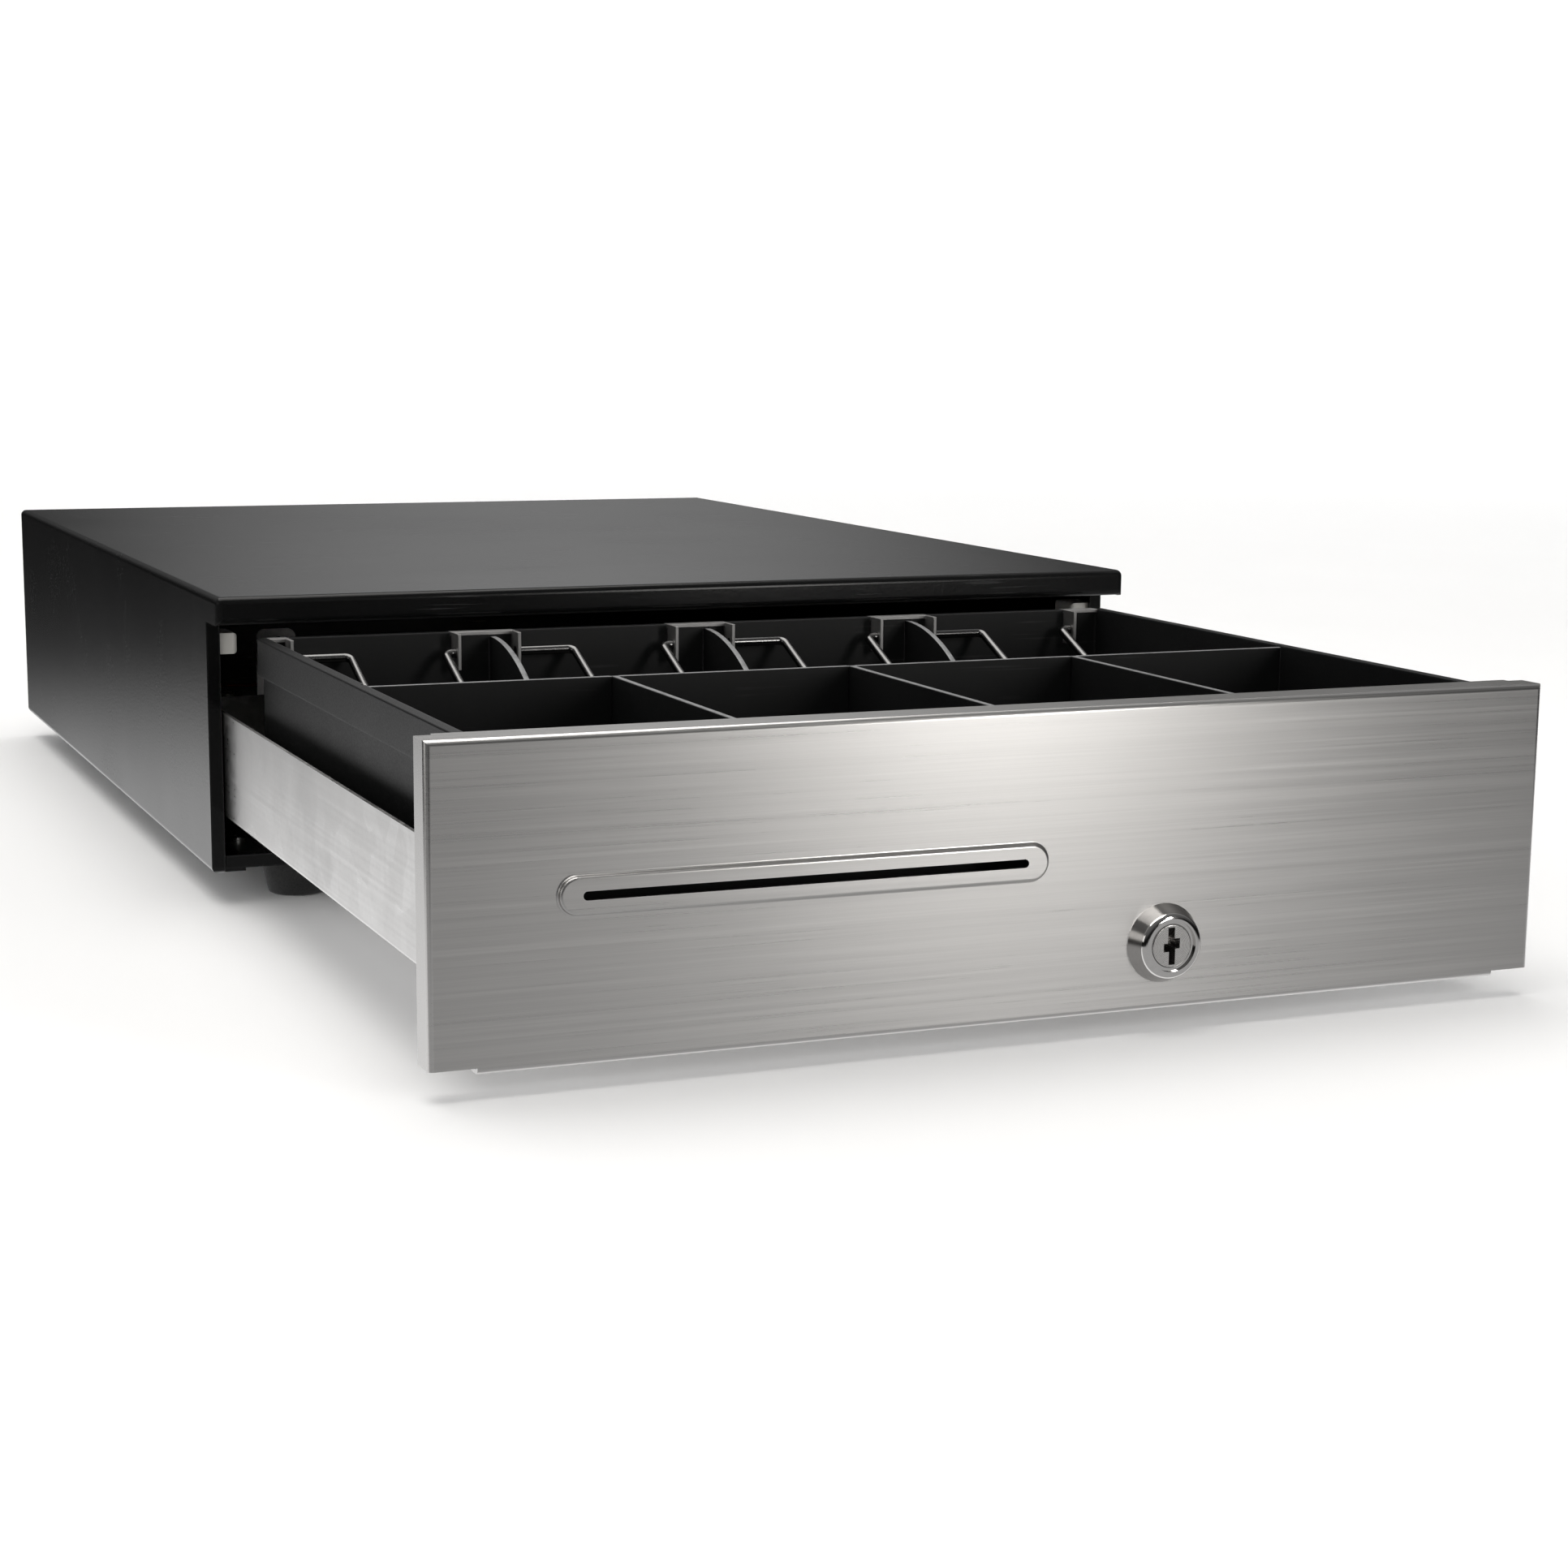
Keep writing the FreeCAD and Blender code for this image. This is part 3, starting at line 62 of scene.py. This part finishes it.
# ---- small node graphs
class Graph:
    """A node tree with helpers for procedural detail, in the coordinates it is given."""

    def __init__(self, tree, coordinates):
        self.tree = tree
        self.place = self.add("ShaderNodeTexCoord").outputs[coordinates]

    def add(self, kind, **settings):
        """A new node, with its properties set."""
        node = self.tree.nodes.new(kind)
        for key, value in settings.items():
            setattr(node, key, value)
        return node

    def feed(self, value, socket):
        """Link a socket's output into an input, or set the input to a plain value."""
        if isinstance(value, bpy.types.NodeSocket):
            self.tree.links.new(value, socket)
        else:
            socket.default_value = value

    def stretched(self, scale, turn=(0, 0, 0)):
        """The object's coordinates, turned and scaled along each axis."""
        node = self.add("ShaderNodeMapping")
        self.feed(self.place, node.inputs["Vector"])
        node.inputs["Scale"].default_value = scale
        node.inputs["Rotation"].default_value = turn
        return node.outputs["Vector"]

    def noise(self, scale, detail=3.0, roughness=0.5, place=None):
        """Soft random detail, from 0 to 1."""
        node = self.add("ShaderNodeTexNoise")
        self.feed(place or self.place, node.inputs["Vector"])
        node.inputs["Scale"].default_value = scale
        node.inputs["Detail"].default_value = detail
        node.inputs["Roughness"].default_value = roughness
        return node.outputs["Fac"]

    def cells(self, scale, output="Color", feature="F1"):
        """A random cell pattern: its colour or its distances."""
        node = self.add("ShaderNodeTexVoronoi", feature=feature)
        self.feed(self.place, node.inputs["Vector"])
        node.inputs["Scale"].default_value = scale
        return node.outputs[output]

    def bands(self, direction, scale, distortion=0.0, kind="BANDS", place=None):
        """Even waves along a direction, or in rings about it."""
        node = self.add("ShaderNodeTexWave", wave_type=kind)
        if kind == "BANDS":
            node.bands_direction = direction
        else:
            node.rings_direction = direction
        self.feed(place or self.place, node.inputs["Vector"])
        node.inputs["Scale"].default_value = scale
        node.inputs["Distortion"].default_value = distortion
        return node.outputs["Fac"]

    def spread(self, value, low, high, start=0.0, end=1.0):
        """The value, from start to end, mapped to low and high."""
        node = self.add("ShaderNodeMapRange")
        self.feed(value, node.inputs["Value"])
        node.inputs["From Min"].default_value = start
        node.inputs["From Max"].default_value = end
        node.inputs["To Min"].default_value = low
        node.inputs["To Max"].default_value = high
        return node.outputs["Result"]

    def combine(self, a, b, operation):
        """Two values put through one operation."""
        node = self.add("ShaderNodeMath", operation=operation)
        self.feed(a, node.inputs[0])
        self.feed(b, node.inputs[1])
        return node.outputs[0]

    def blend(self, share, low, high):
        """A colour between low and high."""
        node = self.add("ShaderNodeMix", data_type="RGBA")
        self.feed(share, node.inputs["Factor"])
        for socket, value in (("A", low), ("B", high)):
            target = [s for s in node.inputs if s.name == socket and s.type == "RGBA"][0]
            self.feed(value, target)
        return [s for s in node.outputs if s.type == "RGBA"][0]

    def sum(self, a, b):
        return self.combine(a, b, "ADD")

    def product(self, a, b):
        return self.combine(a, b, "MULTIPLY")

    def axis(self, name):
        """The place along one axis."""
        node = self.add("ShaderNodeSeparateXYZ")
        self.feed(self.place, node.inputs[0])
        return node.outputs[name]

    def facing(self, name):
        """How far the surface faces along an axis, from -1 to 1."""
        node = self.add("ShaderNodeSeparateXYZ")
        self.feed(self.add("ShaderNodeNewGeometry").outputs["Normal"], node.inputs[0])
        return node.outputs[name]

    def edges(self, radius):
        """About 1 on edges sharper than the radius, 0 on flat surfaces."""
        rounded = self.add("ShaderNodeBevel", samples=4)
        rounded.inputs["Radius"].default_value = radius
        dot = self.add("ShaderNodeVectorMath", operation="DOT_PRODUCT")
        self.feed(rounded.outputs["Normal"], dot.inputs[0])
        self.feed(self.add("ShaderNodeNewGeometry").outputs["Normal"], dot.inputs[1])
        return self.spread(dot.outputs["Value"], 1.0, 0.0, 0.72, 0.98)

    def scratches(self, density, angle):
        """Thin straight marks, turned by an angle about Y and Z."""
        fine = self.stretched((density * 0.02, density, density), (0, angle, angle))
        marks = self.noise(1.0, 1.0, 0.4, fine)
        patches = self.noise(30.0, 2.0)
        mask = self.spread(marks, 0.0, 1.0, 0.66, 0.72)
        return self.product(mask, self.spread(patches, 0.0, 1.0, 0.5, 0.62))


class Finish(Graph):
    """A Principled material, its detail placed in the object's own coordinates, in metres."""

    def __init__(self, name, **sockets):
        self.material = bpy.data.materials.new(name)
        self.material.use_nodes = True
        super().__init__(self.material.node_tree, "Object")
        self.shader = self.tree.nodes["Principled BSDF"]
        for socket, value in sockets.items():
            self.shader.inputs[socket.replace("_", " ")].default_value = value

    def use(self, name, value):
        """Give the shader's named socket a value or a link."""
        self.feed(value, self.shader.inputs[name])

    def bump(self, height, distance, strength=1.0, below=None):
        """Relief as tall as the distance, on top of the relief below."""
        node = self.add("ShaderNodeBump")
        self.feed(height, node.inputs["Height"])
        node.inputs["Distance"].default_value = distance
        node.inputs["Strength"].default_value = strength
        if below is not None:
            self.feed(below, node.inputs["Normal"])
        self.feed(node.outputs["Normal"], self.shader.inputs["Normal"])
        return node.outputs["Normal"]

    def brushed_along(self, highlight_axis):
        """The direction in which reflections are drawn out."""
        node = self.add("ShaderNodeCombineXYZ")
        for socket, value in zip(node.inputs, highlight_axis):
            socket.default_value = value
        self.feed(node.outputs[0], self.shader.inputs["Tangent"])


# ---- materials
def grey(value, warmth=0.0):
    """A grey, warmer for positive warmth."""
    return (value * (1 + warmth), value, value * (1 - warmth), 1.0)


def powder_coat():
    """Black powder paint: orange peel, grit, dust on top and edges rubbed to grey."""
    f = Finish("powder_coat", Metallic=0.0, IOR=1.32)
    edge_wear_and_highlight = f.edges(1.2 * MM)
    scratched = f.scratches(1500.0, 0.35)
    cloud = f.noise(7.0, 3.0)
    peel = f.noise(900.0, 2.0)
    grit = f.noise(4200.0, 2.0)
    base = f.blend(cloud, grey(0.0025, -0.02), grey(0.0050, -0.02))
    upward = f.spread(f.facing("Z"), 0.0, 0.015, 0.5, 1.0)
    dusty = f.product(upward, f.noise(160.0, 5.0, 0.7))
    base = f.blend(dusty, base, grey(0.30, 0.02))
    base = f.blend(f.product(edge_wear_and_highlight, 0.30), base, grey(0.055))
    base = f.blend(f.product(scratched, 0.25), base, grey(0.05))
    f.use("Base Color", base)
    rough = f.spread(cloud, 0.15, 0.21, 0.3, 0.7)
    rough = f.sum(rough, f.spread(grit, -0.03, 0.03))
    f.use("Roughness", f.sum(rough, f.product(scratched, 0.12)))
    f.bump(grit, 9 * MICRON, below=f.bump(peel, 22 * MICRON))
    return f.material


def stainless():
    """Sheet brushed along X, so that its reflections are drawn out upwards."""
    f = Finish("stainless", Metallic=1.0, Anisotropic=0.6)
    long_lines = f.noise(1.0, 2.0, 0.6, f.stretched((2.2, 1100.0, 1100.0)))
    short_lines = f.noise(1.0, 3.0, 0.6, f.stretched((18.0, 3600.0, 3600.0)))
    smudge = f.noise(9.0, 4.0, 0.6)
    lines = f.sum(f.product(long_lines, 0.5), f.product(short_lines, 0.5))
    base = f.blend(f.spread(lines, 0.0, 1.0, 0.3, 0.7), grey(0.585, 0.018), grey(0.655, 0.018))
    worn = f.edges(0.8 * MM)
    base = f.blend(f.product(worn, 0.6), base, grey(0.78, 0.005))
    f.use("Base Color", base)
    rough = f.spread(lines, 0.26, 0.33, 0.3, 0.7)
    f.use("Roughness", f.sum(rough, f.spread(smudge, -0.012, 0.018, 0.3, 0.7)))
    f.bump(lines, 2.5 * MICRON, 0.8)
    f.brushed_along(Z_AXIS)
    return f.material


def galvanised():
    """Zinc-coated sheet: faint spangles, rolling lines and dull patches."""
    f = Finish("galvanised", Metallic=1.0)
    spangle = f.cells(75.0)
    fern = f.noise(420.0, 4.0, 0.7)
    rolled = f.noise(1.0, 2.0, 0.5, f.stretched((6.0, 6.0, 700.0)))
    dull = f.noise(9.0, 4.0, 0.65)
    tone = f.sum(f.product(spangle, 0.35), f.product(fern, 0.65))
    base = f.blend(f.spread(tone, 0.0, 1.0, 0.2, 0.8), grey(0.74, 0.01), grey(0.86, 0.012))
    base = f.blend(f.spread(dull, 0.0, 0.35, 0.52, 0.75), base, grey(0.50, -0.01))
    base = f.blend(f.product(f.edges(0.6 * MM), 0.5), base, grey(0.84))
    f.use("Base Color", base)
    rough = f.spread(tone, 0.27, 0.39, 0.25, 0.75)
    rough = f.sum(rough, f.spread(rolled, -0.03, 0.03, 0.3, 0.7))
    f.use("Roughness", f.sum(rough, f.spread(dull, 0.0, 0.10, 0.45, 0.75)))
    f.bump(fern, 4 * MICRON, 0.6, below=f.bump(rolled, 5 * MICRON, 0.5))
    return f.material


def till_plastic():
    """Black moulded plastic with a fine spark-eroded grain, scuffed by coins."""
    f = Finish("till_plastic", Metallic=0.0, IOR=1.36)
    grain = f.noise(2100.0, 3.0, 0.6)
    pits = f.cells(1500.0, "Distance")
    scuffs = f.scratches(1100.0, 0.9)
    cloud = f.noise(11.0, 3.0)
    base = f.blend(cloud, grey(0.0035, -0.03), grey(0.0070, -0.03))
    base = f.blend(f.product(f.edges(0.9 * MM), 0.38), base, grey(0.14, -0.01))
    base = f.blend(f.product(scuffs, 0.25), base, grey(0.05))
    f.use("Base Color", base)
    rough = f.spread(cloud, 0.36, 0.46, 0.3, 0.7)
    f.use("Roughness", f.sum(rough, f.spread(grain, -0.06, 0.06, 0.3, 0.7)))
    f.bump(grain, 16 * MICRON, 0.8, below=f.bump(pits, 14 * MICRON, 0.5))
    return f.material


def divider_plastic(name, thin):
    """The till's plastic in a plate, with a painted highlight in pale grey on its narrow edges,
    broken up in patches.
    """
    f = Finish(name, Metallic=0.0, IOR=1.36)
    grain = f.noise(2100.0, 3.0, 0.6)
    cloud = f.noise(15.0, 3.0)
    scuffs = f.scratches(1200.0, 1.1)
    base = f.blend(cloud, grey(0.0035, -0.03), grey(0.0070, -0.03))
    base = f.blend(f.product(scuffs, 0.25), base, grey(0.05))
    # Painted highlight: faces that don't face along the thin axis (top edges, arcs and front
    # edges) are painted pale grey in patches, and made a little smoother.
    flank = f.combine(f.facing(thin), 2.0, "POWER")
    narrow = f.spread(flank, 1.0, 0.0, 0.05, 0.7)
    patchy = f.spread(f.noise(240.0, 4.0, 0.7), 0.55, 1.0, 0.25, 0.6)
    edge_wear_and_highlight = f.product(narrow, patchy)
    f.use("Base Color", f.blend(edge_wear_and_highlight, base, grey(0.24, -0.01)))
    rough = f.spread(cloud, 0.40, 0.50, 0.3, 0.7)
    f.use("Roughness", f.sum(rough, f.product(edge_wear_and_highlight, -0.10)))
    f.bump(grain, 16 * MICRON, 0.8)
    return f.material


def chrome(name, low, high, dull=0.0):
    """Plating with fine marks of use, between two tones."""
    f = Finish(name, Metallic=1.0)
    marks = f.noise(1800.0, 3.0, 0.7)
    cloud = f.noise(60.0, 3.0)
    f.use("Base Color", f.blend(cloud, grey(low, 0.01), grey(high, 0.01)))
    rough = f.spread(marks, 0.12 + dull, 0.24 + dull, 0.35, 0.65)
    f.use("Roughness", f.sum(rough, f.spread(cloud, 0.0, 0.08, 0.5, 0.7)))
    f.bump(marks, 3 * MICRON, 0.6)
    return f.material


def turned_metal(name, tone, centre, low, high):
    """Metal faced on a lathe: fine rings about an axis along Y."""
    f = Finish(name, Metallic=1.0)
    move = f.add("ShaderNodeMapping")
    f.feed(f.place, move.inputs["Vector"])
    move.inputs["Location"].default_value = [-c for c in centre]
    rings = f.bands("Y", 900.0, 1.5, "RINGS", move.outputs["Vector"])
    marks = f.noise(2600.0, 3.0, 0.7)
    darkest = tone * 0.86
    f.use("Base Color", f.blend(f.noise(500.0, 4.0), grey(darkest, 0.02), grey(tone, 0.02)))
    f.use("Roughness", f.sum(f.spread(rings, low, high), f.spread(marks, -0.04, 0.04)))
    f.bump(marks, 2 * MICRON, 0.5, below=f.bump(rings, 2.5 * MICRON, 0.6))
    return f.material


def zinc_screw():
    """Zinc-plated steel with a faint yellow and blue bloom."""
    f = Finish("zinc_screw", Metallic=1.0)
    bloom = f.noise(330.0, 3.0)
    marks = f.noise(2600.0, 3.0, 0.7)
    f.use("Base Color", f.blend(bloom, (0.56, 0.54, 0.46, 1.0), (0.56, 0.59, 0.64, 1.0)))
    f.use("Roughness", f.spread(marks, 0.20, 0.38, 0.3, 0.7))
    f.bump(marks, 4 * MICRON, 0.7)
    return f.material


def spring_steel():
    """Dark oiled steel, paler where the oil has gone."""
    f = Finish("spring_steel", Metallic=1.0)
    oiled = f.noise(150.0, 4.0)
    marks = f.noise(3000.0, 2.0)
    f.use("Base Color", f.blend(oiled, grey(0.26, 0.03), grey(0.42, 0.01)))
    f.use("Roughness", f.spread(oiled, 0.22, 0.38, 0.3, 0.7))
    f.bump(marks, 3 * MICRON, 0.5)
    return f.material


def rubber():
    """Matt moulded rubber, dusty in patches."""
    f = Finish("rubber", Metallic=0.0)
    grain = f.noise(1500.0, 3.0, 0.7)
    dust = f.noise(90.0, 5.0, 0.7)
    dusty = f.spread(dust, 0.0, 0.3, 0.45, 0.8)
    f.use("Base Color", f.blend(dusty, grey(0.012), grey(0.06, 0.06)))
    f.use("Roughness", f.spread(grain, 0.62, 0.85, 0.3, 0.7))
    f.bump(grain, 30 * MICRON, 0.8)
    return f.material


def nylon():
    """Natural nylon, slightly see-through, burnished by the till's flank."""
    f = Finish("nylon", Metallic=0.0, Subsurface_Weight=0.25)
    f.shader.inputs["Subsurface Radius"].default_value = (0.004, 0.0035, 0.003)
    marks = f.noise(700.0, 3.0)
    cloud = f.noise(140.0, 2.0)
    f.use("Base Color", f.blend(cloud, (0.40, 0.39, 0.36, 1.0), (0.52, 0.51, 0.48, 1.0)))
    f.use("Roughness", f.spread(marks, 0.30, 0.50, 0.3, 0.7))
    f.bump(marks, 10 * MICRON, 0.5)
    return f.material


def black_moulding():
    """Moulded black plastic with a fine grain, for the small inside pieces."""
    f = Finish("black_moulding", Metallic=0.0)
    grain = f.noise(2600.0, 3.0, 0.7)
    cloud = f.noise(120.0, 3.0)
    base = f.blend(cloud, grey(0.012), grey(0.024))
    f.use("Base Color", f.blend(f.product(f.edges(0.4 * MM), 0.3), base, grey(0.10)))
    f.use("Roughness", f.spread(grain, 0.32, 0.50, 0.3, 0.7))
    f.bump(grain, 10 * MICRON, 0.7)
    return f.material


def board_parts():
    """Pale connector, dark relay and blue capacitor, told apart by their place on the board."""
    f = Finish("board_parts", Metallic=0.0)
    low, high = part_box("board_components")
    across = high[0] - low[0]
    sleeve = f.spread(f.axis("X"), 1.0, 0.0, low[0] + 0.20 * across, low[0] + 0.24 * across)
    header = f.spread(f.axis("X"), 0.0, 1.0, low[0] + 0.74 * across, low[0] + 0.76 * across)
    speck = f.noise(900.0, 3.0)
    base = f.blend(speck, grey(0.014), grey(0.028))
    base = f.blend(header, base, (0.72, 0.70, 0.62, 1.0))
    base = f.blend(sleeve, base, (0.02, 0.05, 0.16, 1.0))
    f.use("Base Color", base)
    f.use("Roughness", f.spread(speck, 0.28, 0.46, 0.3, 0.7))
    f.bump(speck, 8 * MICRON, 0.6)
    return f.material


def circuit_board():
    """Green solder resist over copper tracks, with a scatter of tinned pads."""
    f = Finish("circuit_board", Metallic=0.0, Coat_Weight=0.35)
    track = f.spread(f.cells(210.0, "Distance", "DISTANCE_TO_EDGE"), 1.0, 0.0, 0.05, 0.09)
    pad = f.spread(f.cells(330.0, "Distance"), 1.0, 0.0, 0.14, 0.18)
    mottle = f.noise(80.0, 3.0)
    base = f.blend(mottle, (0.006, 0.075, 0.022, 1.0), (0.010, 0.105, 0.034, 1.0))
    base = f.blend(track, base, (0.022, 0.185, 0.06, 1.0))
    f.use("Base Color", f.blend(pad, base, (0.62, 0.60, 0.54, 1.0)))
    f.use("Metallic", pad)
    f.use("Roughness", f.spread(mottle, 0.24, 0.36, 0.3, 0.7))
    f.bump(f.sum(track, pad), 30 * MICRON, 0.7)
    return f.material


def copper_winding():
    """Enamelled wire laid side by side round the bobbin."""
    f = Finish("copper_winding", Metallic=1.0, Coat_Weight=0.6, Coat_Roughness=0.15)
    turns = f.bands("Y", 430.0, 0.6)
    stain = f.noise(300.0, 3.0)
    f.use("Base Color", f.blend(stain, (0.42, 0.15, 0.06, 1.0), (0.66, 0.29, 0.12, 1.0)))
    f.use("Roughness", f.spread(stain, 0.22, 0.36, 0.3, 0.7))
    f.bump(turns, 120 * MICRON, 0.9)
    return f.material


def lead_insulation():
    """Red insulation of the solenoid's leads, a little grimy."""
    f = Finish("lead_insulation", Metallic=0.0)
    grime = f.noise(260.0, 4.0)
    f.use("Base Color", f.blend(grime, (0.30, 0.012, 0.010, 1.0), (0.46, 0.022, 0.018, 1.0)))
    f.use("Roughness", f.spread(grime, 0.32, 0.50, 0.3, 0.7))
    f.bump(grime, 8 * MICRON, 0.5)
    return f.material


# ---- what the CAD's pieces get
def lock_centre():
    """The middle of the lock's front, about which its metal is turned."""
    low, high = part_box("lock_housing")
    return Vector(((low[0] + high[0]) / 2, low[1], (low[2] + high[2]) / 2))


def finish_nodes():
    """Give every CAD node its slot's material, and the pieces in apart one of their own."""
    centre = lock_centre()
    by_slot = {
        "powder_coat": powder_coat(),
        "stainless": stainless(),
        "galvanised": galvanised(),
        "till_plastic": till_plastic(),
        "divider_plastic": divider_plastic("divider_plastic", "X"),
        "chrome": chrome("chrome", 0.62, 0.78),
        "satin_nickel": turned_metal("satin_nickel", 0.66, centre, 0.20, 0.34),
        "zinc_screw": zinc_screw(),
        "spring_steel": spring_steel(),
        "rubber": rubber(),
        "nylon": nylon(),
        "black_moulding": black_moulding(),
        "circuit_board": circuit_board(),
        "copper_winding": copper_winding(),
        "lead_insulation": lead_insulation(),
    }
    apart = {
        "lock_housing": turned_metal("lock_chrome", 0.74, centre, 0.05, 0.12),
        "board_components": board_parts(),
        "cross_divider": divider_plastic("cross_divider_plastic", "Y"),
        "hold_down_clips": chrome("clip_nickel", 0.42, 0.55, 0.28),
    }
    wire = chrome("wire_nickel", 0.13, 0.20)
    for name in HOLD_DOWNS:
        apart[name] = wire
    for part in frame["record"]["subparts"]:
        name = part["node"]
        material = apart.get(name, by_slot[part["material_slot"]])
        for slot in nodes[name].material_slots:
            slot.material = material


def soften_edges(name, width):
    """Round a CAD node's sharp edges, so that they catch the light."""
    node = nodes[name]
    weld = node.modifiers.new("weld", "WELD")
    weld.merge_threshold = 0.002 * MM
    bevel = node.modifiers.new("bevel", "BEVEL")
    bevel.width = width
    bevel.segments = 2
    bevel.limit_method = "ANGLE"
    bevel.angle_limit = 0.6
    bevel.harden_normals = False


def soft_spring():
    """The eject spring as a piece that the closing drawer presses against its seat."""
    node = nodes["eject_spring"]
    spring = bpy.data.objects.new("eject_coil", node.data.copy())
    bpy.context.scene.collection.objects.link(spring)
    spring.matrix_world = node.matrix_world.copy()
    for slot, given in zip(spring.material_slots, node.material_slots):
        slot.material = given.material
    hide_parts("eject_spring")
    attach(spring, "case")
    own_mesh(spring)


# ---- stage, lights and camera
def studio():
    """A pale round floor that curves up into a low wall."""
    near, flat, curve, height = 0.8, 3.4, 1.2, 3.2
    profile = [(0.0, 0.0), (near, 0.0), (flat, 0.0)]
    steps, around = 12, 96
    for k in range(1, steps + 1):
        a = math.pi / 2 * k / steps
        profile.append((flat + curve * math.sin(a), curve * (1 - math.cos(a))))
    profile.append((flat + curve, height))
    points, faces = [], []
    for r, z in profile:
        for k in range(around):
            a = 2 * math.pi * k / around
            points.append((r * math.cos(a), r * math.sin(a), z))
    for i in range(len(profile) - 1):
        for k in range(around):
            m = (k + 1) % around
            inner, outer = i * around, (i + 1) * around
            faces.append((inner + k, inner + m, outer + m, outer + k))
    mesh = bpy.data.meshes.new("studio_floor")
    mesh.from_pydata(points, [], faces)
    mesh.polygons.foreach_set("use_smooth", [True] * len(faces))
    floor = bpy.data.objects.new("studio_floor", mesh)
    bpy.context.scene.collection.objects.link(floor)
    f = Finish("studio_paper", Metallic=0.0)
    f.use("Base Color", f.blend(f.noise(3.0, 4.0), grey(0.86), grey(0.89)))
    f.use("Roughness", f.spread(f.noise(40.0, 3.0), 0.80, 0.92))
    away = f.add("ShaderNodeVectorMath", operation="LENGTH")
    f.feed(f.place, away.inputs[0])
    f.use("Emission Color", grey(1.0))
    f.use("Emission Strength", f.spread(away.outputs["Value"], 0.0, 0.62, 0.9, flat + curve))
    floor.data.materials.append(f.material)
    floor.visible_glossy = False


def softbox(name, place, target, width, height, power):
    """A slightly warm rectangular light, aimed at a target."""
    light = bpy.data.lights.new(name, "AREA")
    light.shape = "RECTANGLE"
    light.size = width
    light.size_y = height
    light.energy = power
    light.color = (1.0, 0.985, 0.96)
    box = bpy.data.objects.new(name, light)
    bpy.context.scene.collection.objects.link(box)
    place, target = Vector(place), Vector(target)
    aim = (target - place).to_track_quat("-Z", "Y").to_matrix().to_4x4()
    box.matrix_world = Matrix.Translation(place) @ aim


def glow(f, direction, start, strength):
    """A soft bright patch of sky round a direction."""
    dot = f.add("ShaderNodeVectorMath", operation="DOT_PRODUCT")
    f.feed(f.place, dot.inputs[0])
    dot.inputs[1].default_value = Vector(direction).normalized()
    return f.spread(dot.outputs["Value"], 0.0, strength, start, 1.0)


def room():
    """What the shiny surfaces see: a pale table up to a dark horizon, then a soft dim ceiling."""
    world = bpy.data.worlds.new("studio")
    world.use_nodes = True
    f = Graph(world.node_tree, "Generated")
    lowest, highest = -0.4, 1.0
    height = f.spread(f.axis("Z"), 0.0, 1.0, lowest, highest)
    ramp = f.add("ShaderNodeValToRGB")
    f.feed(height, ramp.inputs["Fac"])
    stops = ((-0.21, 1.0), (-0.165, 0.85), (-0.12, 0.06), (-0.09, 0.02), (0.02, 0.01),
             (0.12, 0.04), (0.32, 0.20), (1.0, 0.45))
    elements = ramp.color_ramp.elements
    for k, (z, value) in enumerate(stops):
        element = elements[k] if k < len(elements) else elements.new(1.0)
        element.position = (z - lowest) / (highest - lowest)
        element.color = grey(value)
    dimmer_in_front = f.spread(f.axis("Y"), 0.42, 1.0, -0.15, 0.05)
    light = f.product(ramp.outputs["Color"], dimmer_in_front)
    behind = (0.31, 0.93, 0.20)
    light = f.sum(light, glow(f, behind, start=0.978, strength=0.42))
    sky = world.node_tree.nodes["Background"]
    f.feed(light, sky.inputs["Color"])
    sky.inputs["Strength"].default_value = 1.0
    bpy.context.scene.world = world


def lighting():
    """The room and three soft lights: overhead, front right and low on the left."""
    room()
    softbox("overhead", (-0.3, 0.1, 2.2), (0.0, 0.0, 0.05), 2.6, 2.0, 44.0)
    softbox("front_strip", (0.70, -1.75, 0.40), (0.0, -0.34, 0.06), 0.20, 0.8, 5.0)
    softbox("left_low", (-1.3, -0.55, 0.35), (-0.17, -0.15, 0.03), 0.7, 0.4, 0.8)
    bpy.context.scene.view_settings.view_transform = "Standard"


def camera():
    """Seen from the front left, a little above the case."""
    place = Vector((-0.3589, -1.0199, 0.1990))
    yaw, pitch, roll = math.radians(22.67), math.radians(9.95), math.radians(-0.46)
    data = bpy.data.cameras.new("camera")
    data.sensor_width = 36.0
    data.lens = 65.54
    data.shift_x = 0.0075
    data.shift_y = 0.0188
    data.clip_start = 0.01
    view = bpy.data.objects.new("camera", data)
    bpy.context.scene.collection.objects.link(view)
    turn = Matrix.Rotation(-yaw, 4, "Z") @ Matrix.Rotation(math.pi / 2 - pitch, 4, "X")
    view.matrix_world = Matrix.Translation(place) @ turn @ Matrix.Rotation(-roll, 4, "Z")
    bpy.context.scene.camera = view


finish_nodes()
soft_spring()
soften_edges("front_panel", 0.25 * MM)
for divider in ["cross_divider"] + NOTE_DIVIDERS:
    soften_edges(divider, 0.3 * MM)
soften_edges("hold_down_clips", 0.15 * MM)
studio()
lighting()
camera()
